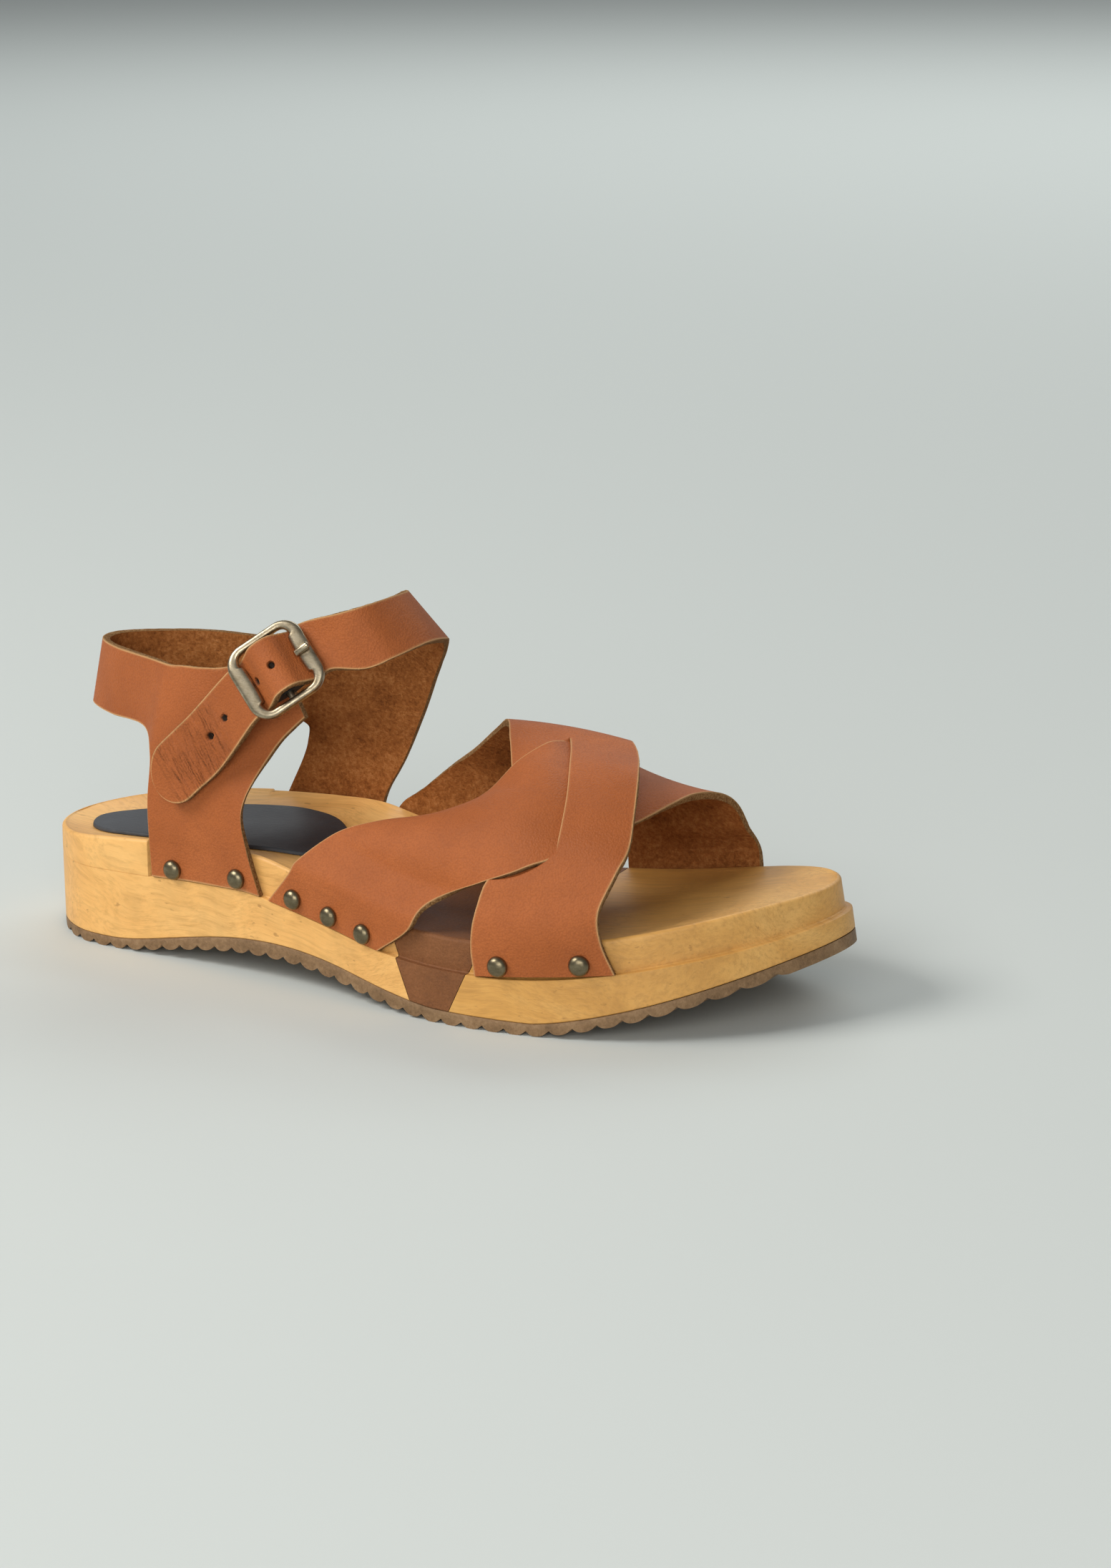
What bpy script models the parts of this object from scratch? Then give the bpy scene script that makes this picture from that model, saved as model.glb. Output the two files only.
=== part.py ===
"""Wooden sole sandal, right shoe.

Two wooden blocks on a ribbed rubber sheet, with a rubber flex insert between them, a heel pad, two front
straps joined where they cross, and a heel upper in one piece with its ankle strap, buckle and dome tacks.
Metres, +Z up, +X to the toe, +Y to the inner (medial) side of the foot. The floor is z = 0, and the
origin is on the floor in the middle of the rib under the heel seat.
"""
import bpy
import bmesh
import math
import numpy as np
from mathutils import Vector

# Driving sizes
LENGTH = 0.255              # sole, heel back to toe tip
BALL_WIDTH = 0.095          # scale of all breadths, about the sole's width across the ball
FOOTBED_HEIGHT = 0.035      # footbed edge above the floor at the heel
UPPER_RISE = 0.095          # top of the ankle strap above the rebate
OUTSOLE_THICK = 0.0037      # rubber sheet under the ball, without its notches
PATTERN_BASE = 0.0156       # height above the floor where the pattern's up starts
REBATE = 0.0020             # step in the wood that the leather is nailed to
LEATHER = 0.0022            # strap leather
ARCH_RISE = 0.0067          # underside above the floor at the waist
TOE_SPRING = 0.0189         # underside above the floor at the toe tip
TOE_LEAN = 0.16             # how far the toe wall leans back for each unit of its height
HEEL_BEVEL = 0.0017         # underside above the floor at the heel's back
RIB_PITCH = 0.00664         # outsole ribs
RIB_DEPTH = 0.0016          # notch between two ribs
EDGE_ROUND = 0.0012         # eased top edge of the wood
DISH = 0.0012               # hollow of the footbed under the toes
PAD_THICK = 0.0009          # heel pad
TACK_RADIUS = 0.0030        # dome head
TACK_DOME = 0.0018          # dome height
BUCKLE_LENGTH = 0.0247      # outside, along the strap
BUCKLE_BREADTH = 0.0243     # outside, across the strap
BUCKLE_BAR = 0.0026         # frame's thickness
BAR_WIDE = 0.0044           # breadth of the two bars that cross the strap
BAR_NARROW = 0.0023         # breadth of the two bars beside it
CENTRE_BAR = 0.0022         # pin that the keeper is looped on
GAP = 0.0003                # clearance between two pieces that touch

# The pattern is drawn on a grid: its columns are parts of these named sizes
GRID_LENGTH = 255           # parts in LENGTH
GRID_WIDTH = 95             # parts in BALL_WIDTH
GRID_FOOTBED = 35           # parts in FOOTBED_HEIGHT
GRID_RISE = 95              # parts in UPPER_RISE
HEEL_CENTRE = 3             # the heel's centre, parts in front of the origin

# Sole outline. along: parts from the heel's centre. centre, half: parts of width
OUTLINE = [
    # along, centre, half
    (-33.0, 0.0, 0.0),
    (-25.5, 0.2, 19.9),
    (-12.5, -0.4, 29.7),
    (5.0, -0.2, 33.1),
    (31.0, 0.3, 35.2),
    (56.0, -0.8, 37.1),
    (82.0, -4.1, 38.2),
    (107.0, -7.3, 40.9),
    (133.0, -6.5, 44.4),
    (153.0, -3.6, 45.8),
    (171.0, -0.7, 44.8),
    (189.0, 2.5, 40.3),
    (204.0, 6.2, 31.8),
    (215.5, 9.6, 19.9),
    (223.0, 11.0, 0.0),
]

# Footbed edge. height: parts above the floor
FOOTBED = [
    # along, height
    (-33.0, 31.3),
    (-20.0, 32.3),
    (-2.0, 34.0),
    (15.0, 35.3),
    (40.0, 36.2),
    (57.0, 35.9),
    (69.0, 33.7),
    (90.0, 29.6),
    (117.0, 25.2),
    (140.0, 25.0),
    (158.0, 26.1),
    (178.0, 28.8),
    (195.0, 31.8),
    (207.0, 34.0),
    (223.0, 36.6),
]

# Rebate, where the feet of the leather stand. height: parts above the floor
LEDGE = [
    # along, height
    (-33.0, 23.5),
    (17.0, 24.4),
    (40.0, 25.0),
    (56.0, 24.9),
    (66.0, 23.3),
    (90.0, 19.4),
    (113.0, 16.3),
    (133.0, 15.5),
    (146.0, 15.6),
    (159.0, 16.6),
    (176.0, 18.9),
    (194.0, 22.0),
    (207.0, 24.4),
    (216.0, 26.4),
    (223.0, 28.3),
]

# Hollow of the footbed below its edge, as shares of DISH: a cup at the heel, shallow elsewhere
HOLLOW = [
    # along, share
    (-33.0, 0.3),
    (-18.0, 2.1),
    (0.0, 2.7),
    (50.0, 2.5),
    (80.0, 1.5),
    (110.0, 1.0),
    (223.0, 0.8),
]

# Thickness of the rubber along the sole, as shares of OUTSOLE_THICK
RUBBER = [
    # along, share
    (-33.0, 0.62),
    (-20.0, 0.80),
    (5.0, 0.84),
    (20.0, 0.93),
    (50.0, 1.16),
    (100.0, 1.16),
    (130.0, 1.00),
    (223.0, 0.96),
]

# Underside: where its stretches begin and end, parts from the heel's centre
BEVEL_END = -20
ARCH_START = 1
ARCH_END = 124
SPRING_START = 154
SPRING_POWER = 1.33
TOE_TIP = 223
HEEL_BACK = -33
REBATE_START = 17.0

# Flex insert: its two slanted faces, each given at two heights as parts from the heel's centre
INSERT_REAR_LOW = 116.0     # where the rear face meets the rubber
INSERT_REAR_HIGH = 107.0    # where it meets the footbed
INSERT_FRONT_LOW = 129.3
INSERT_FRONT_HIGH = 140.0
INSERT_LOW = 4.3            # the two heights, parts of FOOTBED_HEIGHT
INSERT_HIGH = 26.0

# Front straps, outer (grain) side: points on the rear edge and the front edge, from the outer side of the
# foot to the inner. along and across as above, up: parts above the rebate. crown: bulge between the edges
STRAP_A = [
    # rear: along, across, up, front: along, across, up, crown
    (73.0, -37.0, 22.5, 121.0, -45.0, 18.0, 0.0),
    (83.0, -34.0, 30.5, 137.0, -45.5, 25.5, 1.0),
    (95.0, -30.0, 34.5, 148.0, -43.5, 30.0, 3.0),
    (109.5, -24.0, 37.0, 158.5, -38.0, 35.5, 6.0),
    (121.0, -16.0, 42.0, 167.0, -28.0, 38.5, 8.0),
    (129.0, -9.0, 51.5, 171.0, -15.0, 40.0, 7.0),
    (136.0, 0.0, 56.5, 173.0, 0.0, 41.5, 2.0),
    (138.0, 10.0, 55.5, 174.5, 12.0, 42.0, -1.5),
    (138.0, 22.0, 50.0, 176.5, 24.0, 39.5, -2.0),
    (138.0, 32.0, 40.0, 178.0, 32.0, 34.5, -1.0),
    (138.5, 37.0, 27.5, 179.0, 38.0, 25.5, 0.0),
]
STRAP_B = [
    # rear: along, across, up, front: along, across, up, crown
    (138.5, -47.5, 23.5, 173.5, -44.0, 21.5, 0.0),
    (140.0, -42.0, 29.5, 176.0, -39.0, 31.0, 1.0),
    (138.0, -34.0, 36.5, 177.0, -33.0, 37.0, 3.0),
    (134.0, -22.0, 44.0, 174.5, -25.0, 44.5, 3.0),
    (127.0, -10.0, 49.0, 169.0, -12.0, 52.5, 2.0),
    (119.0, 3.0, 54.5, 161.0, 3.0, 54.0, 1.0),
    (112.0, 14.0, 56.5, 153.0, 14.0, 54.5, 1.0),
    (103.0, 23.0, 51.0, 146.0, 24.0, 49.5, 1.0),
    (92.0, 29.5, 42.5, 138.0, 31.0, 42.5, 1.0),
    (82.0, 33.5, 35.5, 129.0, 37.0, 32.5, 0.0),
    (70.0, 36.0, 26.0, 119.0, 38.0, 21.5, 0.0),
]

# Feet of the straps on the rebate: along of the rear and front edge at the rebate and at the footbed
STRAP_FEET = {
    # name: rear foot, front foot, rear above, front above
    "A_outer": (62.0, 104.5, 70.0, 115.5),
    "A_inner": (139.0, 180.0, 138.5, 180.0),
    "B_outer": (138.0, 178.0, 137.0, 174.5),
    "B_inner": (57.5, 107.0, 62.0, 112.0),
}

# Heel upper, outer side: lower edge and upper edge, going round from the outer quarter's front edge, over
# the heel band, to the inner quarter and into the ankle strap. up = 0 is a foot on the rebate
QUARTER_FRONT = [
    # lower: along, across, up, upper: along, across, up, bulge
    (73.0, -27.0, 65.0, 63.0, -28.0, 79.0, 0.0),
    (60.0, -29.0, 52.0, 52.0, -28.5, 76.0, 0.0),
    (52.0, -33.5, 35.0, 43.0, -28.5, 73.5, 0.5),
    (53.0, -36.0, 20.0, 37.0, -28.5, 72.8, 1.0),
    (58.5, -37.0, 0.0, 33.0, -28.5, 72.5, 2.0),
]
QUARTER_FOOT = [
    # lower: along, across, up, upper: along, across, up, bulge
    (58.5, -37.0, 0.0, 33.0, -28.5, 72.5, 2.0),
    (38.0, -36.0, 0.0, 30.5, -28.2, 72.4, 3.0),
    (18.0, -35.0, 0.0, 28.0, -27.8, 72.3, 2.0),
]
HEEL_BAND = [
    # lower: along, across, up, upper: along, across, up, bulge
    (18.0, -35.0, 0.0, 28.0, -27.8, 72.3, 2.0),
    (17.0, -33.5, 30.0, 25.0, -27.0, 72.0, 1.0),
    (16.0, -30.5, 45.0, 20.0, -25.0, 71.5, 0.5),
    (8.0, -22.0, 51.0, 11.0, -21.0, 71.5, 0.0),
    (-10.0, -13.5, 51.0, -7.0, -13.0, 71.5, 0.0),
    (-22.0, -5.5, 51.3, -18.0, -5.0, 71.5, 0.0),
    (-26.0, 1.5, 51.5, -21.5, 2.0, 71.5, 0.0),
    (-23.5, 8.5, 51.3, -19.5, 8.5, 71.5, 0.0),
    (-12.0, 15.5, 51.0, -10.0, 15.0, 71.5, 0.0),
    (6.0, 22.0, 50.0, 5.0, 21.0, 71.5, 0.0),
    (24.0, 26.0, 48.0, 20.0, 25.0, 70.5, 0.0),
    (31.0, 28.0, 44.0, 30.0, 26.0, 70.5, 0.5),
    (29.5, 31.5, 38.0, 38.0, 26.0, 71.5, 0.8),
    (25.5, 33.5, 31.0, 44.0, 26.0, 73.0, 1.2),
    (20.0, 35.5, 20.0, 49.0, 26.0, 75.0, 1.5),
    (17.0, 35.0, 0.0, 52.0, 25.5, 76.5, 2.0),
]
INNER_FOOT = [
    # lower: along, across, up, upper: along, across, up, bulge
    (17.0, 35.0, 0.0, 52.0, 25.5, 76.5, 2.0),
    (36.0, 36.0, 0.0, 54.5, 25.5, 78.2, 2.5),
    (53.5, 37.0, 0.0, 57.0, 25.0, 80.0, 2.0),
]
ANKLE_STRAP = [
    # lower: along, across, up, upper: along, across, up, bulge
    (53.5, 37.0, 0.0, 57.0, 25.0, 80.0, 2.0),
    (54.0, 37.0, 22.0, 60.0, 24.5, 82.0, 1.5),
    (63.5, 35.8, 34.0, 64.0, 23.5, 84.5, 1.0),
    (73.0, 31.5, 50.0, 69.0, 21.5, 87.5, 0.5),
    (82.0, 27.0, 66.0, 75.0, 17.0, 90.5, 0.0),
    (89.0, 20.0, 76.0, 80.0, 12.0, 92.2, 0.0),
    (94.5, 9.0, 79.8, 84.0, 5.0, 93.5, 0.0),
    (96.5, -4.0, 81.5, 86.5, -6.0, 94.5, 0.0),
    (93.5, -17.0, 79.5, 85.0, -17.5, 94.0, 0.0),
    (87.0, -22.5, 76.5, 79.0, -23.0, 92.0, 0.0),
]

# The strap's pass through the buckle, outer side, seen in the frame's own plane. run: parts of the frame's
# half length from its centre, to the toe. lift: parts of the frame's half length out of its plane
BUCKLE_PASS = [
    # run, lift
    (1.10, -0.17),
    (0.74, -0.15),
    (0.50, 0.09),
    (0.27, 0.38),
    (0.0, 0.46),
    (-0.27, 0.38),
    (-0.50, 0.09),
    (-0.74, -0.15),
    (-1.10, -0.17),
]
STRAP_HALF = 8.4            # parts of width, half the ankle strap's breadth at the buckle
STRAP_END = [
    # lower: along, across, up, upper: along, across, up, bulge
    (46.0, -37.5, 46.0, 36.5, -37.5, 61.5, 0.0),
    (38.0, -38.3, 38.5, 28.0, -38.3, 53.5, 0.0),
    (32.0, -38.8, 34.5, 23.0, -38.6, 48.0, 0.0),
    (27.0, -39.2, 34.5, 21.5, -39.0, 42.5, 0.0),
]

# Where the buckle lies: its centre as along, across, up, and the directions along it and out of it
BUCKLE_CENTRE = (63.6, -33.6, 76.0)
BUCKLE_ALONG = (0.70, 0.46, 0.545)
BUCKLE_OUT = (0.24, -0.84, 0.45)

# Dome tacks: along, height above the rebate in parts of FOOTBED_HEIGHT, side of the foot
TACKS = [
    # along, height, side
    (26.0, 3.2, -1),
    (50.3, 3.7, -1),
    (71.9, 4.1, -1),
    (85.9, 3.9, -1),
    (99.2, 3.5, -1),
    (145.4, 3.9, -1),
    (168.8, 4.1, -1),
    (25.0, 3.5, 1),
    (49.0, 3.7, 1),
    (66.0, 3.9, 1),
    (81.5, 3.9, 1),
    (97.0, 3.7, 1),
    (147.0, 3.9, 1),
    (171.0, 4.1, 1),
]

# Mesh fineness
FOOTBED_COLUMNS = 8         # strips across the footbed
EDGE_POINTS = 6             # points across a strap
SPAN_STEPS = 2              # steps between two rows of a table
SOLE_STEP = 4.0             # length of a facet along the wood, parts
RIB_FACETS = (1.0, 0.34, 0.0, 0.0, 0.34)   # notch depth at the five steps of a rib

STRAP_HELD = 0.0045         # the front straps stay outside the wall this far above the footbed
QUARTER_HELD = 0.0115       # and the heel upper this far

SIDE_OUTER = -1
SIDE_INNER = 1


def along_m(along):
    """World x of a place given in parts from the heel's centre."""
    return (HEEL_CENTRE + along) * LENGTH / GRID_LENGTH


def across_m(across):
    return across * BALL_WIDTH / GRID_WIDTH


def parts_along(x):
    """Inverse of along_m."""
    return x * GRID_LENGTH / LENGTH - HEEL_CENTRE


def hermite(xs, ys, x):
    """Smooth curve through the points, with the slope at each one from its neighbours."""
    xs, ys = np.asarray(xs, float), np.asarray(ys, float)
    slope = np.gradient(ys, xs)
    i = int(np.clip(np.searchsorted(xs, x) - 1, 0, len(xs) - 2))
    h = xs[i + 1] - xs[i]
    t = (x - xs[i]) / h
    a = 2 * t**3 - 3 * t**2 + 1
    b = t**3 - 2 * t**2 + t
    c = -2 * t**3 + 3 * t**2
    d = t**3 - t**2
    return float(a * ys[i] + b * h * slope[i] + c * ys[i + 1] + d * h * slope[i + 1])


def outline(along):
    """Centre and half breadth of the sole in metres. The half's square is what is smooth at both ends."""
    rows = np.array(OUTLINE)
    centre = hermite(rows[:, 0], rows[:, 1], along)
    square = hermite(rows[:, 0], rows[:, 2]**2, along)
    return across_m(centre), across_m(math.sqrt(max(square, 0.0)))


def underside(along):
    """Lowest line of the sole: heel bevel, flat, arch, flat under the ball, toe spring."""
    if along < BEVEL_END:
        return HEEL_BEVEL * ((BEVEL_END - along) / (BEVEL_END - HEEL_BACK))**2
    if ARCH_START < along < ARCH_END:
        return ARCH_RISE * math.sin(math.pi * (along - ARCH_START) / (ARCH_END - ARCH_START))**1.5
    if along > SPRING_START:
        return TOE_SPRING * ((along - SPRING_START) / (TOE_TIP - SPRING_START))**SPRING_POWER
    return 0.0


def from_table(table, along):
    """Smooth value of a two-column table at a place along the sole."""
    rows = np.array(table)
    return hermite(rows[:, 0], rows[:, 1], along)


def ledge(along):
    """Height of the rebate, where the leather's feet stand."""
    return from_table(LEDGE, along) * FOOTBED_HEIGHT / GRID_FOOTBED


def footbed_edge(along):
    return from_table(FOOTBED, along) * FOOTBED_HEIGHT / GRID_FOOTBED


def rubber_top(along):
    return underside(along) + OUTSOLE_THICK * from_table(RUBBER, along)


def footbed(along, y):
    """Footbed height at a place: the hollow is flat in the middle and rises to the edge."""
    centre, half = outline(along)
    share = 0.0 if half == 0.0 else min(1.0, abs(y - centre) / half)
    return footbed_edge(along) - DISH * from_table(HOLLOW, along) * (1.0 - share**3)


def footbed_facet(along, y):
    """Footbed height on its facets, which span FOOTBED_COLUMNS strips between the two edges."""
    centre, half = outline(along)
    half -= rebate_inset(along) + EDGE_ROUND
    place = (y - centre + half) / (2 * half) * FOOTBED_COLUMNS
    k = min(FOOTBED_COLUMNS - 1, max(0, math.floor(place)))
    ends = []
    for edge in (k, k + 1):
        if edge in (0, FOOTBED_COLUMNS):
            ends.append(footbed_edge(along))
        else:
            ends.append(footbed(along, centre + half * (2 * edge / FOOTBED_COLUMNS - 1)))
    return ends[0] + (ends[1] - ends[0]) * (place - k)


def toe_lean(along, z):
    """How far a point of the sole moves back, because the walls lean at the toe."""
    share = max(0.0, (along - SPRING_START) / (TOE_TIP - SPRING_START))
    return TOE_LEAN * share * (z - underside(along))


def material(name, colour, roughness, metallic=0.0):
    mat = bpy.data.materials.new(name)
    mat.use_nodes = True
    shader = mat.node_tree.nodes["Principled BSDF"]
    shader.inputs["Base Color"].default_value = (*colour, 1.0)
    shader.inputs["Roughness"].default_value = roughness
    shader.inputs["Metallic"].default_value = metallic
    return mat


def add_object(name, bm, mat):
    """Finish a bmesh as a named object with outward faces."""
    bmesh.ops.remove_doubles(bm, verts=bm.verts, dist=1e-6)
    bmesh.ops.recalc_face_normals(bm, faces=bm.faces)
    mesh = bpy.data.meshes.new(name)
    bm.to_mesh(mesh)
    bm.free()
    mesh.materials.append(mat)
    mesh.shade_smooth()
    mesh.set_sharp_from_angle(angle=math.radians(35))
    obj = bpy.data.objects.new(name, mesh)
    bpy.context.collection.objects.link(obj)
    return obj


def loop_stations(step, extra=()):
    """Parts along the sole, closer together where the outline turns at heel and toe."""
    inner = np.arange(HEEL_BACK + 12, TOE_TIP - 14, step)
    heel = [HEEL_BACK + 12 * (1 - math.cos(a)) for a in np.linspace(0, math.pi / 2, 6)[:-1]]
    toe = [TOE_TIP - 14 * (1 - math.cos(a)) for a in np.linspace(0, math.pi / 2, 7)[:-1]]
    places = sorted([*heel, *inner, *toe, *extra])
    kept = [places[0]]
    for place in places[1:]:
        if place - kept[-1] > 0.35:
            kept.append(place)
    return kept


def sole_ring(stations, inset, height):
    """One closed loop round the sole: outer side heel to toe, then back along the inner side."""
    flat = []
    for side in (SIDE_OUTER, SIDE_INNER):
        run = stations if side == SIDE_OUTER else stations[-2:0:-1]
        for along in run:
            centre, half = outline(along)
            flat.append((along, along_m(along), centre + side * half))
    points = np.array([(x, y) for _, x, y in flat])
    tangent = np.roll(points, -1, 0) - np.roll(points, 1, 0)
    tangent /= np.linalg.norm(tangent, axis=1)[:, None]
    inward = np.stack([-tangent[:, 1], tangent[:, 0]], 1)
    ring = []
    for (along, _, _), point, normal in zip(flat, points, inward):
        depth = inset(along) if callable(inset) else inset
        place = point + normal * depth
        z = height(along)
        ring.append(Vector((place[0] - toe_lean(along, z), place[1], z)))
    return ring


def join_rings(bm, lower, upper):
    count = len(lower)
    for i in range(count):
        j = (i + 1) % count
        bm.faces.new((lower[i], lower[j], upper[j], upper[i]))


def cap_ring(bm, ring, stations, columns, height):
    """Close a loop with strips from the outer side to the inner side at each station."""
    last = len(stations) - 1
    rows = []
    for i in range(len(stations)):
        outer = ring[i]
        inner = ring[-i] if 0 < i < last else ring[i]
        if outer is inner:
            rows.append([outer] * (columns + 1))
            continue
        row = [outer]
        for k in range(1, columns):
            point = outer.co.lerp(inner.co, k / columns)
            if height:
                point.z = height(stations[i], point.y)
            row.append(bm.verts.new(point))
        row.append(inner)
        rows.append(row)
    for low, high in zip(rows, rows[1:]):
        for k in range(columns):
            corners = []
            for vert in (low[k], high[k], high[k + 1], low[k + 1]):
                if vert not in corners:
                    corners.append(vert)
            if len(corners) > 2:
                bm.faces.new(corners)


def build_outsole(mat):
    """Rubber sheet: even top, underside with ribs across it whose ends scallop the side."""
    count = len(RIB_FACETS)
    first = math.ceil((along_m(HEEL_BACK) + 0.004) / RIB_PITCH - 0.5)
    last = math.floor((along_m(TOE_TIP) - 0.010) / RIB_PITCH - 0.5)
    notch = {}
    for rib in range(first, last + 1):
        for k, share in enumerate(RIB_FACETS):
            place = parts_along((rib + 0.5 + k / count) * RIB_PITCH)
            notch[place] = share * RIB_DEPTH
    low = min(notch)
    high = max(notch)
    ends = [s for s in loop_stations(SOLE_STEP) if s < low - 0.5 or s > high + 0.5]
    stations = sorted([*ends, *notch])
    bm = bmesh.new()

    def bottom(along):
        return underside(along) + notch.get(along, 0.0)

    under = [bm.verts.new(p) for p in sole_ring(stations, 0.0, bottom)]
    over = [bm.verts.new(p) for p in sole_ring(stations, 0.0, rubber_top)]
    join_rings(bm, under, over)
    cap_ring(bm, under, stations, 1, None)
    cap_ring(bm, over, stations, 1, None)
    return add_object("outsole", bm, mat)


def rebate_inset(along):
    return REBATE if along >= REBATE_START else 0.0


def wood_body():
    """The whole wooden sole with its rebate, before it is cut into its pieces."""
    stations = loop_stations(SOLE_STEP, extra=(REBATE_START - 0.4, REBATE_START))
    bm = bmesh.new()
    levels = [
        (0.0, lambda a: rubber_top(a) + GAP),
        (0.0, ledge),
        (rebate_inset, ledge),
        (rebate_inset, lambda a: footbed_edge(a) - EDGE_ROUND),
        (lambda a: rebate_inset(a) + 0.3 * EDGE_ROUND, lambda a: footbed_edge(a) - 0.3 * EDGE_ROUND),
        (lambda a: rebate_inset(a) + EDGE_ROUND, footbed_edge),
    ]
    rings = [[bm.verts.new(p) for p in sole_ring(stations, inset, height)] for inset, height in levels]
    for lower, upper in zip(rings, rings[1:]):
        join_rings(bm, lower, upper)
    cap_ring(bm, rings[0], stations, 1, None)
    cap_ring(bm, rings[-1], stations, FOOTBED_COLUMNS, footbed)
    bmesh.ops.remove_doubles(bm, verts=bm.verts, dist=1e-6)
    bmesh.ops.recalc_face_normals(bm, faces=bm.faces)
    return bm


def insert_plane(low, high, shift):
    """A slanted face of the insert, through its line at the rubber and its line at the footbed."""
    foot = Vector((along_m(low) + shift, 0.0, INSERT_LOW / GRID_FOOTBED * FOOTBED_HEIGHT))
    head = Vector((along_m(high) + shift, 0.0, INSERT_HIGH / GRID_FOOTBED * FOOTBED_HEIGHT))
    normal = (head - foot).cross(Vector((0.0, 1.0, 0.0))).normalized()
    return foot, -normal if normal.x < 0 else normal


def cut(bm, plane, keep_front):
    """Keep one side of a plane and close the cut."""
    point, normal = plane
    geom = [*bm.verts, *bm.edges, *bm.faces]
    result = bmesh.ops.bisect_plane(bm, geom=geom, plane_co=point, plane_no=normal, dist=1e-7,
                                    clear_inner=keep_front, clear_outer=not keep_front)
    edges = [e for e in result["geom_cut"] if isinstance(e, bmesh.types.BMEdge)]
    bmesh.ops.triangle_fill(bm, edges=edges, use_beauty=True)


def build_wood(heel_mat, toe_mat, insert_mat):
    rear = (INSERT_REAR_LOW, INSERT_REAR_HIGH)
    front = (INSERT_FRONT_LOW, INSERT_FRONT_HIGH)
    half_gap = GAP / 2
    bm = wood_body()
    cut(bm, insert_plane(*rear, -half_gap), False)
    add_object("sole_heel", bm, heel_mat)
    bm = wood_body()
    cut(bm, insert_plane(*rear, half_gap), True)
    cut(bm, insert_plane(*front, -half_gap), False)
    add_object("flex_insert", bm, insert_mat)
    bm = wood_body()
    cut(bm, insert_plane(*front, half_gap), True)
    add_object("sole_toe", bm, toe_mat)


# Heel pad. along: parts from the heel's centre. centre, half: parts of width
PAD = [
    # along, centre, half
    (-22.0, -4.5, 0.0),
    (-18.0, -4.5, 9.5),
    (-10.0, -4.0, 15.0),
    (4.0, -3.0, 19.5),
    (22.0, -2.0, 22.5),
    (38.0, -2.5, 23.0),
    (51.0, -4.5, 20.0),
    (61.0, -7.5, 14.0),
    (68.0, -9.5, 0.0),
]
PAD_STEPS = 20
PAD_COLUMNS = 6


def pad_outline(along):
    rows = np.array(PAD)
    square = hermite(rows[:, 0], rows[:, 2]**2, along)
    return hermite(rows[:, 0], rows[:, 1], along), math.sqrt(max(square, 0.0))


def build_pad(mat):
    """The pad follows the hollow of the footbed: one grid for its underside and one for its top."""
    bm = bmesh.new()
    rear, front = PAD[0][0], PAD[-1][0]
    layers = []
    for lift in (GAP, GAP + PAD_THICK):
        rows = []
        for i in range(PAD_STEPS + 1):
            along = rear + (front - rear) * (1 - math.cos(math.pi * i / PAD_STEPS)) / 2
            centre, half = pad_outline(along)
            row = []
            for k in range(PAD_COLUMNS + 1):
                y = across_m(centre + half * (2 * k / PAD_COLUMNS - 1))
                row.append(bm.verts.new((along_m(along), y, footbed_facet(along, y) + lift)))
            rows.append(row)
        layers.append(rows)
    for rows in layers:
        for low, high in zip(rows, rows[1:]):
            for k in range(PAD_COLUMNS):
                bm.faces.new((low[k], high[k], high[k + 1], low[k + 1]))
    under, over = layers
    for k in (0, PAD_COLUMNS):
        for i in range(PAD_STEPS):
            bm.faces.new((under[i][k], under[i + 1][k], over[i + 1][k], over[i][k]))
    for i in (0, PAD_STEPS):
        for k in range(PAD_COLUMNS):
            bm.faces.new((under[i][k], under[i][k + 1], over[i][k + 1], over[i][k]))
    return add_object("insole_pad", bm, mat)


def leather_wall(along, side):
    """Outer side of leather that lies against the rebate's wall."""
    centre, half = outline(along)
    return centre + side * (half - REBATE + GAP + LEATHER)


def place(along, across, up):
    """World point of a pattern place. up = 0 is a foot, which stands on the rebate at its wall."""
    if up == 0.0:
        side = SIDE_OUTER if across < 0 else SIDE_INNER
        return Vector((along_m(along), leather_wall(along, side), ledge(along) + GAP))
    rise = up / GRID_RISE * UPPER_RISE
    return Vector((along_m(along), across_m(across), PATTERN_BASE + rise))


def smooth_rows(rows, steps):
    """Carry a curve through the rows of an array, each column by itself (Catmull-Rom)."""
    rows = np.asarray(rows, float)
    padded = np.vstack([2 * rows[0] - rows[1], rows, 2 * rows[-1] - rows[-2]])
    result = [rows[0]]
    for i in range(1, len(rows)):
        p0, p1, p2, p3 = padded[i - 1:i + 3]
        for k in range(1, steps + 1):
            t = k / steps
            result.append(0.5 * (2 * p1 + (p2 - p0) * t + (2 * p0 - 5 * p1 + 4 * p2 - p3) * t**2
                                 + (3 * p1 - p0 - 3 * p2 + p3) * t**3))
    return np.array(result)


def edge_rows(table):
    """Table rows as [first edge xyz, second edge xyz, crown in metres]."""
    rows = []
    for a1, c1, u1, a2, c2, u2, crown in table:
        rows.append([*place(a1, c1, u1), *place(a2, c2, u2), across_m(crown)])
    return rows


def grid_normals(grid):
    """Unit normals of a grid of points from the differences along its rows and columns."""
    du = np.gradient(grid, axis=0)
    dv = np.gradient(grid, axis=1)
    normal = np.cross(du, dv)
    return normal / np.linalg.norm(normal, axis=2)[:, :, None]


def fill_between(rows, crown_sign):
    """Grid of points between the two edges of each row, bulged along the sheet's own normal."""
    rows = np.asarray(rows)
    share = np.linspace(0.0, 1.0, EDGE_POINTS)[None, :, None]
    grid = rows[:, None, 0:3] * (1 - share) + rows[:, None, 3:6] * share
    bulge = 4 * share * (1 - share) * rows[:, None, 6:7]
    return grid + crown_sign * grid_normals(grid) * bulge


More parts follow.
